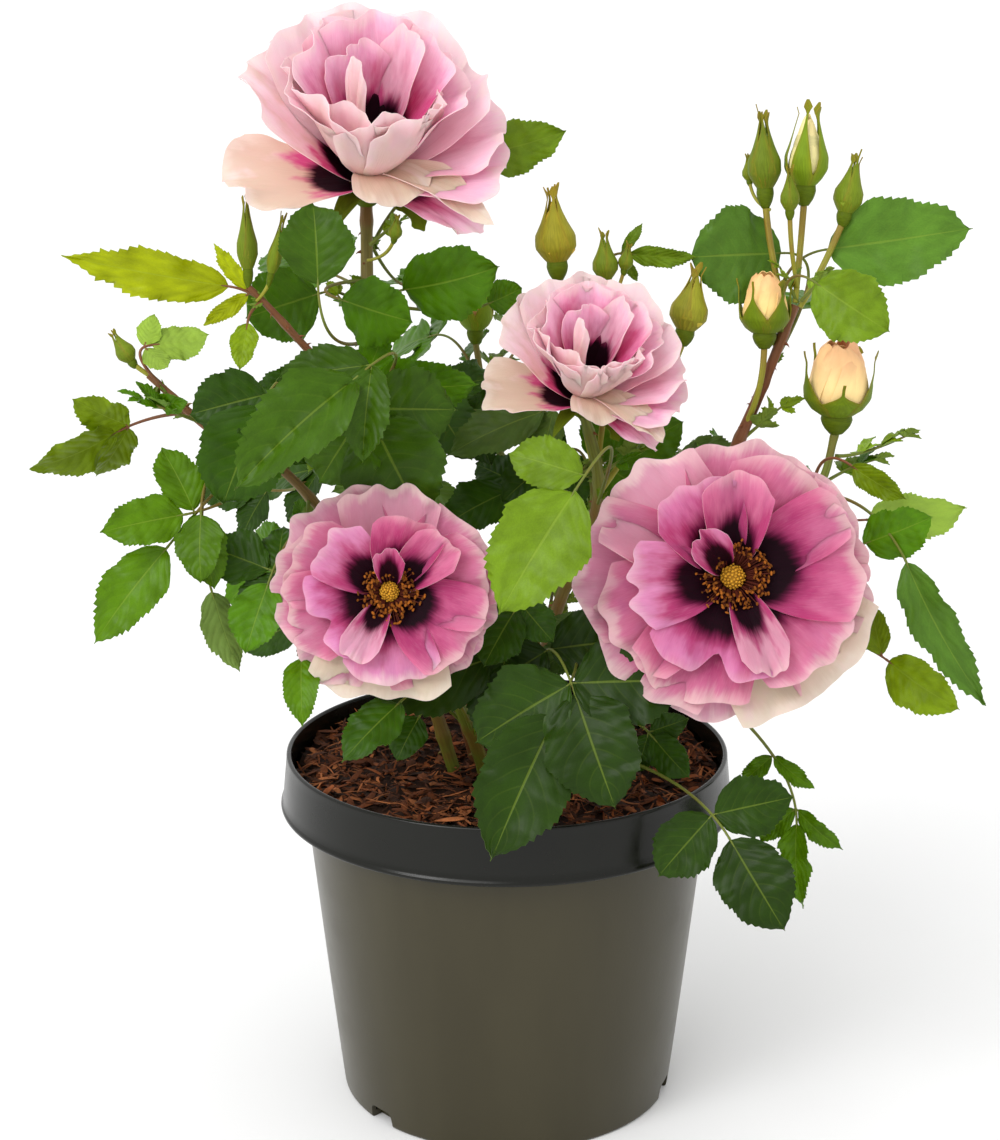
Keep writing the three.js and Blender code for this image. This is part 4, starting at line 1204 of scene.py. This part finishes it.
def add_petal(heap, eye, axes, radius, row, rng, cells):
    """One petal: a claw that opens into a cupped, ruffled blade along a bent midline."""
    ahead, up, right = axes
    azimuth = math.radians(row["azimuth"])
    outward = right * math.cos(azimuth) + up * math.sin(azimuth)
    tangent = up * math.cos(azimuth) - right * math.sin(azimuth)
    phase = rng.uniform(0, TURN, 8)
    s, t = sheet(np.linspace(0, 1, PETAL_ROWS), np.linspace(-1, 1, PETAL_COLUMNS))
    corner = 0.22 * np.abs(t) ** 2.6 + row["notch"] * hump(t, 0.1, 0.2)
    corner += 0.35 * row["point"] * np.abs(t)
    corner += 0.022 * np.sin(4.6 * t + phase[0]) + 0.008 * np.sin(12 * t + phase[1])
    corner += row["ragged"] * (np.sin(7.5 * t + phase[7]) + 0.25 * np.sin(17 * t + phase[1]))
    a = s * (1 - corner)
    half = row["half"] * radius * (CLAW + (1 - CLAW) * (1 - (1 - np.clip(a, 0, 1)) ** 2) ** 0.8)
    long = row["reach"] * radius
    fine = np.linspace(0, 1.1, 111)
    foot_lift, tip_lift = row["lifts"]
    lift = np.radians(foot_lift + (tip_lift - foot_lift) * fine)
    run, rise = (np.interp(a, fine, reached) for reached in walk(fine, long, lift))
    angle = np.interp(a, fine, lift)
    cup = row["cup"] * (1 - 0.45 * a)
    aside = half * np.sin(cup * t) / cup
    over = half * (1 - np.cos(cup * t)) / cup
    to_rim = np.minimum((1 - s) * (1 - corner) * long, (1 - np.abs(t)) * half * 1.3)
    edge = (1 - np.clip(to_rim / (0.42 * radius), 0, 1)) ** 2 * eased(a, 0.25, 0.75)
    round_rim = np.arctan2(t, a - 0.2)
    ruffle = row["ruffle"] * radius * min(1, row["half"] / 0.4)
    for depth, waves, start in ((0.050, 5, phase[2]), (0.022, 11, phase[3]), (0.009, 23, phase[4])):
        over += ruffle * edge * depth * np.sin(waves * round_rim + start)
    over += ruffle * a * 0.026 * np.sin(2.6 * t + phase[5])
    for crease in rng.uniform(-0.7, 0.7, 3):
        over -= ruffle * a * 0.014 * hump(t, crease, 0.09)
    run = run + ruffle * edge * 0.020 * np.sin(9 * round_rim + phase[6])
    start = 0.07 * radius
    run = run - over * np.sin(angle) + start
    rise = rise + over * np.cos(angle) + row["height"] * radius
    front = placed(eye, (outward, tangent, ahead), (run, aside, rise))
    out = np.maximum((start + a * long) / radius, row["bare"])
    inside = np.clip(to_rim / (0.25 * radius), 0, 1)
    # Inner petals turn cooler and lighter towards the bloom's left as seen from the front, the side the
    # key light comes from: partly the rose's own hue, partly painted light.
    warmth = 0.8 if row["reach"] > 0.88 else 0.5 + 0.36 * math.cos(azimuth - 0.35)
    warmth += rng.uniform(-0.12, 0.12)
    tint = np.stack([t, np.full(t.shape, warmth), np.full(t.shape, row["pale"])], 2)
    add_shell(heap, front, 0.45 * (1 - 0.5 * s), s, t, tint, cells, np.stack([out, inside], 2))


STAMEN = tone(84, 34, 22)
POLLEN = tone(152, 86, 24)
PISTIL = tone(206, 150, 44)
SEAT = tone(54, 22, 14)
STIGMAS = 60


def make_eye(heap, eye, axes, radius, rng, count, leans, seat):
    """The bloom's eye: a low dome of stigmas inside a ring of stamens."""
    ahead, up, right = axes
    dome = radius * 0.085
    top = eye + ahead * radius * 0.13
    add_ball(heap, top, ahead, dome * 1.6, dome * 2.0, PISTIL * 0.7, 8, 14)
    for index in range(STIGMAS):
        tilt = math.acos(1 - 0.8 * (index + 0.5) / STIGMAS)
        spin = index * GOLDEN_ANGLE
        way = ahead * math.cos(tilt) + (right * math.cos(spin) + up * math.sin(spin)) * math.sin(tilt)
        spot = top + way * dome * rng.uniform(0.95, 1.1)
        add_ball(heap, spot, way, 1.0, 1.1, PISTIL * rng.uniform(0.85, 1.15), 3, 6)
    add_ball(heap, eye + ahead * radius * 0.02, ahead, radius * 0.16, radius * seat, SEAT, 8, 16)
    for index in range(count):
        spin = index * GOLDEN_ANGLE + rng.uniform(-0.1, 0.1)
        around = right * math.cos(spin) + up * math.sin(spin)
        lean = rng.uniform(*leans)
        long = radius * rng.uniform(0.12, 0.18) * (1 + 0.5 * lean / leans[1])
        foot = eye + around * radius * 0.075 + ahead * radius * 0.07
        way = unit(around * math.sin(lean) + ahead * math.cos(lean))
        tip = foot + way * long
        bend = foot + (ahead * 0.75 + way * 0.25) * long * 0.55
        add_tube(heap, bezier(foot, bend, tip, 6), np.linspace(0.32, 0.2, 6), 5, STAMEN)
        aim = unit(np.cross(way, heading_of(rng.uniform(0, 360), rng.uniform(-40, 40))))
        long, wide = rng.uniform(1.6, 2.2), rng.uniform(0.9, 1.2)
        add_ball(heap, tip, aim, long, wide, POLLEN * rng.uniform(0.4, 1.2), 4, 6)


SEPAL_TONE = tone(88, 106, 8)
SEPAL_THICKNESS = 0.35
SEPAL_COLUMNS = np.linspace(-1, 1, 7)


def add_sepal(heap, foot, axes, long, half, lifts, rng, tint, leafy):
    """A narrow green sepal: broad at its foot, drawn out to a long thin tip, sometimes leafy."""
    share = np.linspace(0, 1, 22)
    s, t = sheet(share, SEPAL_COLUMNS)
    width = half * ((1 - s) ** 1.1 * (0.75 + 1.2 * s) + 0.09 * (1 - s) + 0.03)
    if leafy:
        width = width + half * 0.55 * hump(s, 0.88, 0.07)
        width = width + half * 0.3 * hump(s, 0.55, 0.03) * np.abs(t)
    lift = np.radians(lifts[0] + (lifts[1] - lifts[0]) * share ** 1.4)
    run, rise = (reached[:, None] for reached in walk(share, long, lift))
    cup = 0.35 * half * (1 - s) * t ** 2
    sway = rng.normal(0, 0.08) * long * s ** 2
    run = run - cup * np.sin(lift)[:, None]
    rise = rise + cup * np.cos(lift)[:, None]
    front = placed(foot, axes, (run, width * t + sway, rise))
    add_shell(heap, front, SEPAL_THICKNESS, s, t, tint)


# The two kinds of bloom: petals and colours, stamens, how far they lean in radians, the width of
# the dark seat under them, and how sepals lift at foot and tip.
KINDS = {
    "open": (OPEN_BLOOM, OPEN_TONES, 1.0, 200, (0.35, 1.2), 0.34, (-25, -55)),
    "cupped": (CUPPED_BLOOM, CUPPED_TONES, 1.18, 50, (0.05, 0.4), 0.18, (10, -35)),
}
# Each bloom: kind, seed, radius, spin of its petals in degrees, how far its eye is sunk behind the
# bloom's centre and shifted to its right, and how tall it is beside its width.
BLOOM_LOOKS = {
    "bloom_right": ("open", 100, 55, 0, 14, 4.7, 0.97),
    "bloom_left": ("open", 101, 43, -46, 11, 1.0, 0.92),
    "bloom_top": ("cupped", 110, 55, 0, 26.5, 0.0, 1.0),
    "bloom_middle": ("cupped", 111, 39.5, -11, 21, 0.0, 1.0),
}


def make_blooms():
    """The petals of each bloom, all stamens, and the greens that the buds' sepals then join."""
    greens, eyes = Heap(), Heap()
    materials = {kind: petal_material("petal_rose_" + kind, *look[1:3]) for kind, look in KINDS.items()}
    for name, (kind, seed, radius, spin, sunk, shift, tall) in BLOOM_LOOKS.items():
        rows, _, _, stamens, leans, seat, sepal_lifts = KINDS[kind]
        rng = np.random.default_rng(seed)
        ahead = heading_of(*BLOOMS[name]["facing"])
        up = level_over(ahead)
        right = np.cross(up, ahead)
        eye = BLOOMS[name]["at"] - ahead * sunk + right * shift
        petals = Heap()
        for index, row in enumerate(rows):
            turned_row = {**row, "azimuth": row["azimuth"] + spin}
            cells = tile_pair(index, PETAL_TILES)
            add_petal(petals, eye, (ahead, up * tall, right), radius, turned_row, rng, cells)
        petals.piece("petals_" + name, materials[kind], "petal", [name])
        make_eye(eyes, eye, (ahead, up, right), radius, rng, stamens, leans, seat)
        hip_long = radius * 0.30
        hip = eye - ahead * hip_long * 0.35
        add_ball(greens, hip, ahead, hip_long, radius * 0.24, SEPAL_TONE * 0.9, 10, 16)
        for index in range(5):
            azimuth = math.radians(72 * index + 20 + spin)
            outward = right * math.cos(azimuth) + up * math.sin(azimuth)
            foot = hip + ahead * hip_long * 0.22 + outward * radius * 0.09
            tint = SEPAL_TONE * rng.uniform(0.85, 1.15)
            axes = (outward, np.cross(ahead, outward), ahead)
            add_sepal(
                greens, foot, axes, radius * 0.55, radius * 0.10, sepal_lifts, rng, tint, index % 2 == 0,
            )
    eyes.piece("stamens", plain_living_material("pollen_gold", 0.75, 3.0, 0.25), "petal")
    return greens


# ---------------------------------------------------------------- buds

BUD_GREEN = tone(132, 152, 44)
BUD_STEM = tone(150, 148, 40)
OPENED_SEPAL = tone(106, 130, 18)
SEPAL_EDGE = tone(158, 120, 40)
BUD_BLUSH = tone(246, 164, 132)
# Each bud: where its stem starts, what the stem bends towards, its foot, length and radius, the
# colour of its petals, and how far it has opened from 0 to 1.
BUDS = {
    "upper_right_a": ((116, 13, 341), (109, 17, 366), (107, 19, 385), 41, 6.6, BUD_GREEN, 0.0),
    "upper_right_b": ((120, 14, 346), (122, 19, 366), (123, 20, 386), 42, 8.8, tone(238, 226, 160), 0.16),
    "upper_right_c": ((121, 15, 352), (117, 10, 366), (116, 9, 381), 22, 3.6, BUD_GREEN, 0.0),
    "upper_right_d": ((122, 14, 344), (132, 17, 360), (139, 20, 377), 31, 5.8, BUD_GREEN, 0.0),
    "yellow_left": ((100, 11, 294), (107, 4, 310), (107, 8, 328), 33, 11, tone(250, 216, 140), 0.7),
    "yellow_right": ((137, -1, 294), (137, -1, 293), (137, -1, 294), 40, 15, tone(250, 218, 152), 0.8),
    "middle_tall": ((35, -8, 284), (26, 2, 325), (21, 5, 357), 39, 8.2, tone(212, 180, 60), 0.0),
    "middle_small": ((37, -6, 278), (44, 8, 322), (41, 10, 352), 25, 5, BUD_GREEN, 0.0),
    "middle_right": ((38, -4, 268), (62, 4, 300), (73, 9, 329), 34, 7.6, tone(206, 190, 70), 0.0),
    "upper_left": ((-104, -20, 357), (-104, -20, 358), (-104, -20, 358), 38, 3.9, BUD_GREEN, 0.0),
    "far_left": ((-144, -30, 324), (-147, -30, 326), (-149, -30, 327), 18, 3.6, BUD_GREEN, 0.0),
    "back": ((-14, 74, 318), (-14, 74, 317), (-14, 74, 318), 33, 8, tone(236, 186, 120), 0.5),
}
# Buds too small for a solid of their own, told the same way.
SMALL_BUDS = [
    ((109, 18, 384), (102, 22, 386), (101, 26, 393), 13, 2.6, BUD_GREEN, 0.0),
    ((-57, -2, 366), (-48, -8, 368), (-46, -10, 374), 12, 2.6, BUD_GREEN, 0.0),
    ((42, 8, 340), (46, 10, 352), (48, 10, 358), 14, 2.8, BUD_GREEN, 0.0),
    ((-101, -19, 352), (-97, -20, 356), (-96, -20, 358), 30, 2.6, BUD_GREEN, 0.0),
]
# Half widths of a bud, as shares of its radius, at those shares of its height.
BUD_HEIGHTS = [0, 0.08, 0.22, 0.4, 0.6, 0.8, 0.92, 1.0]
OPENING_WIDTHS = [0.44, 0.72, 0.96, 1.0, 0.92, 0.76, 0.56, 0.26]
CLOSED_WIDTHS = [0.40, 0.62, 0.92, 0.90, 0.56, 0.28, 0.16, 0.08]
# Azimuth round an opened bud that faces -Y. A wide open one has a sepal there; the others are turned
# until a gap between two sepals shows their petals.
FRONT = -1.57
HALF_SEPAL = 0.63


def bud_width(height, opened):
    """Half width of a bud at a share of its height: drawn out while closed, fuller when opening."""
    share = min(1, opened * 2.5)
    widths = np.array(CLOSED_WIDTHS) * (1 - share) + np.array(OPENING_WIDTHS) * share
    return np.interp(height, BUD_HEIGHTS, widths)


def add_wrap(heap, foot, axes, long, radius, start, grow, tint, opened, rng):
    """One bud petal wrapped part of the way round, its free edge standing off the ones below."""
    ahead, up, right = axes
    s, t = sheet(np.linspace(0, 1, 15), np.linspace(0, 1, 17))
    shape = bud_width(s, opened) + opened * 0.16 * eased(s, 0.6, 1.0)
    free = 0.09 * eased(t, 0.6, 1) + 0.04 * eased(t, 0.2, 0)
    out = radius * (shape * (0.86 + grow) + free)
    out += radius * 0.10 * opened * eased(s, 0.8, 1) * np.sin(8 * t + rng.uniform(0, 6))
    reach = 1 - (0.20 - 0.12 * opened) * np.abs(2 * t - 0.9) ** 2
    reach += 0.03 * opened * np.sin(16 * t + rng.uniform(0, 6))
    azimuth = start + 3.4 * t + 0.7 * s
    amounts = (out * np.cos(azimuth), out * np.sin(azimuth), s * reach * long)
    front = placed(foot, (right, up, ahead), amounts)
    blush = eased(s, 0.4, 1.0)[..., None] * opened * rng.uniform(0.15, 0.9)
    shaded = tint * (1 - blush) + BUD_BLUSH * blush
    add_shell(heap, front[:, ::-1], 0.3, s, 2 * t - 1, shaded[:, ::-1])


def add_bud_sepal(heap, body, axes, tall, radius, over, opened, rng, leafy, wide, green):
    """A sepal over its bud: it hugs the petals, then stands off them in a long thin tip."""
    s, t = sheet(np.linspace(0, 1, 24), SEPAL_COLUMNS)
    height = s * over * (1 - 0.18 * opened)
    hug = radius * (bud_width(height, opened) * 1.04 + 0.10)
    flare = radius * (0.05 + 0.8 * opened) * eased(s, 0.45, 1.0) + radius * 0.25 * eased(s, 0.8, 1.1)
    out = hug * (1 - 0.5 * opened * eased(s, 0.5, 1)) + flare
    out = np.where(height > 1, np.maximum(out, radius * 0.12), out)
    base = (0.95 - 0.32 * opened - 0.36 * (0 < opened < 0.4)) * wide
    narrowing = (1 - eased(s, 0.10, 0.86 - 0.2 * opened)) * (0.6 + 0.4 * eased(s, 0, 0.12))
    width = radius * (base * narrowing + 0.05)
    if leafy:
        width = width + 0.20 * radius * hump(s, 0.92, 0.05)
    width = np.maximum(width, 0.25)
    flat = np.maximum(out, 0.7)
    swing = np.clip(width / flat, 0, 1.2) * t
    aside = flat * np.sin(swing) + rng.normal(0, 0.10) * radius * s ** 2
    away = out - flat * (1 - np.cos(swing))
    front = placed(body, axes, (away, aside, height * tall))
    shade = green * rng.uniform(0.88, 1.15)
    edge = (0.35 * eased(s, 0.7, 1.0) + 0.3 * eased(np.abs(t), 0.5, 1.0))[..., None]
    shaded = shade * (1 - edge) + edge * SEPAL_EDGE
    add_shell(heap, front, SEPAL_THICKNESS, s, t, shaded)


def add_bud(petals, greens, foot, ahead, long, radius, tint, opened, rng):
    """A bud on its hip: wrapped petals inside five sepals drawn out to long tips."""
    back = np.array([0.0, 1.0, 0.1])
    up = unit(back - ahead * (ahead @ [0.0, 1.0, 0.1]))
    right = np.cross(up, ahead)
    body = foot + ahead * long * 0.20
    tall = long * (0.66 + 0.14 * opened)
    plump = radius * (0.95 - 0.15 * opened)
    spin = rng.uniform(0, 6)
    if opened > 0:
        spin = FRONT + HALF_SEPAL * (opened < 0.75) + 0.25 * (opened < 0.4)
    add_ball(petals, body + ahead * tall * 0.42, ahead, tall * 0.8, plump * 1.5, tint * 0.8, 10, 14)
    for index in range(4):
        high = tall * (1 - 0.03 * index)
        shade = tint * rng.uniform(0.94, 1.05)
        start, grow = spin + index * 1.9, 0.02 + 0.045 * index
        add_wrap(petals, body, (ahead, up, right), high, plump, start, grow, shade, opened, rng)
    hip = np.linspace(0, 1, 9)
    swell = np.interp(hip, [0, 0.3, 0.6, 0.85, 1], [0.24, 0.46, 0.56, 0.52, 0.54])
    path = foot + ahead * (hip * long * 0.24 - long * 0.01)[:, None]
    add_tube(greens, path, swell * radius * (1 - 0.25 * opened), 14, SEPAL_TONE * 0.95)
    green = OPENED_SEPAL if opened > 0 else SEPAL_TONE * 0.72 + tint * 0.28
    for index in range(5):
        azimuth = spin + index * TURN / 5
        outward = right * math.cos(azimuth) + up * math.sin(azimuth)
        over = long * 0.8 / tall * rng.uniform(0.92, 1.06)
        short = opened > 0.75 and index == 0
        over *= 0.6 if short else 1
        wide = 1.7 if short else 1.0
        leafy = index < 3 and not short
        axes = (outward, np.cross(ahead, outward), ahead)
        add_bud_sepal(greens, body, axes, tall, plump, over, opened, rng, leafy, wide, green)


def make_buds(greens):
    """Every bud and its stem. Its sepals join the blooms' in greens, which becomes a piece here."""
    petals, stems = Heap(), Heap()
    rng = np.random.default_rng(41)
    for start, bend, foot, long, radius, tint, opened in [*BUDS.values(), *SMALL_BUDS]:
        start, bend, foot = (np.array(point, float) for point in (start, bend, foot))
        lean = unit((foot - bend) / max(np.linalg.norm(foot - bend), 1e-6) + UP)
        add_bud(petals, greens, foot, lean, long, radius, tint, opened, rng)
        if np.linalg.norm(start - foot) > radius:
            path = bezier(start, bend, foot + lean * 2, 30)
            thick = min(1.35, 0.28 * radius)
            add_tube(stems, path, np.linspace(thick * 0.93, thick * 1.07, 30), 10, BUD_STEM)
    solids = ["bud_" + name for name in BUDS]
    petals.piece("bud_petals", plain_living_material("bud_petal", 0.55, 1.5, 0.07), "bud", solids)
    stems.piece("bud_stems", stem_material("bud_stem_green"), "cane")
    greens.piece("sepals", plain_living_material("sepal_green", 0.55, 3.0, 0.14), "bud")


# ---------------------------------------------------------------- the stage

CAMERA_PLACE = (-0.003, -0.956, 0.5047)
CAMERA_DIP = 15.8
CAMERA_LENS = 74.0
PLANT_MIDDLE = (0, 0, 0.28)
FLOOR_HALF = 150 / MM  # 150 metres


def add_to_scene(name, data, place):
    """A camera or light as an object at a place in metres."""
    thing = bpy.data.objects.new(name, data)
    bpy.context.scene.collection.objects.link(thing)
    thing.location = place
    return thing


def make_camera():
    """The photo's point of view, a little above the blooms."""
    lens = bpy.data.cameras.new("camera")
    lens.sensor_width = 36
    lens.sensor_fit = "AUTO"
    lens.lens = CAMERA_LENS
    lens.clip_start = 0.01
    camera = add_to_scene("camera", lens, CAMERA_PLACE)
    camera.rotation_euler = (math.radians(90 - CAMERA_DIP), 0, 0)
    bpy.context.scene.camera = camera


def add_light(name, kind, place, strength, **settings):
    """A light at a place in metres, turned to the middle of the plant."""
    light = bpy.data.lights.new(name, kind)
    light.energy = strength
    for setting, value in settings.items():
        setattr(light, setting, value)
    thing = add_to_scene(name, light, place)
    thing.rotation_euler = (Vector(PLANT_MIDDLE) - Vector(place)).to_track_quat("-Z", "Y").to_euler()


def make_stage():
    """A pale floor out to the horizon, an even white studio, a soft sun and one glossy lamp."""
    corners = np.array([(-1, -1, 0), (1, -1, 0), (1, 1, 0), (-1, 1, 0)]) * FLOOR_HALF
    floor = plain_object("floor", corners, [(0, 1, 2, 3)])
    pale = Nodes("pale_floor").finish((0.92, 0.92, 0.92, 1.0), 0.8, Specular_IOR_Level=0.2)
    floor.data.materials.append(pale)
    world = bpy.data.worlds.new("studio")
    world.use_nodes = True
    background = world.node_tree.nodes["Background"]
    background.inputs[0].default_value = (1.0, 1.0, 1.0, 1.0)
    background.inputs[1].default_value = 1.0
    bpy.context.scene.world = world
    bpy.context.scene.view_settings.view_transform = "Standard"
    add_light("key", "SUN", (-0.8, -1.2, 1.7), 0.9, angle=math.radians(40))
    add_light("gloss", "AREA", (-1.0, -1.0, 1.1), 6, shape="DISK", size=0.6)


make_camera()
make_stage()
make_pot()
make_soil()
make_canes()
make_leaves()
make_buds(make_blooms())
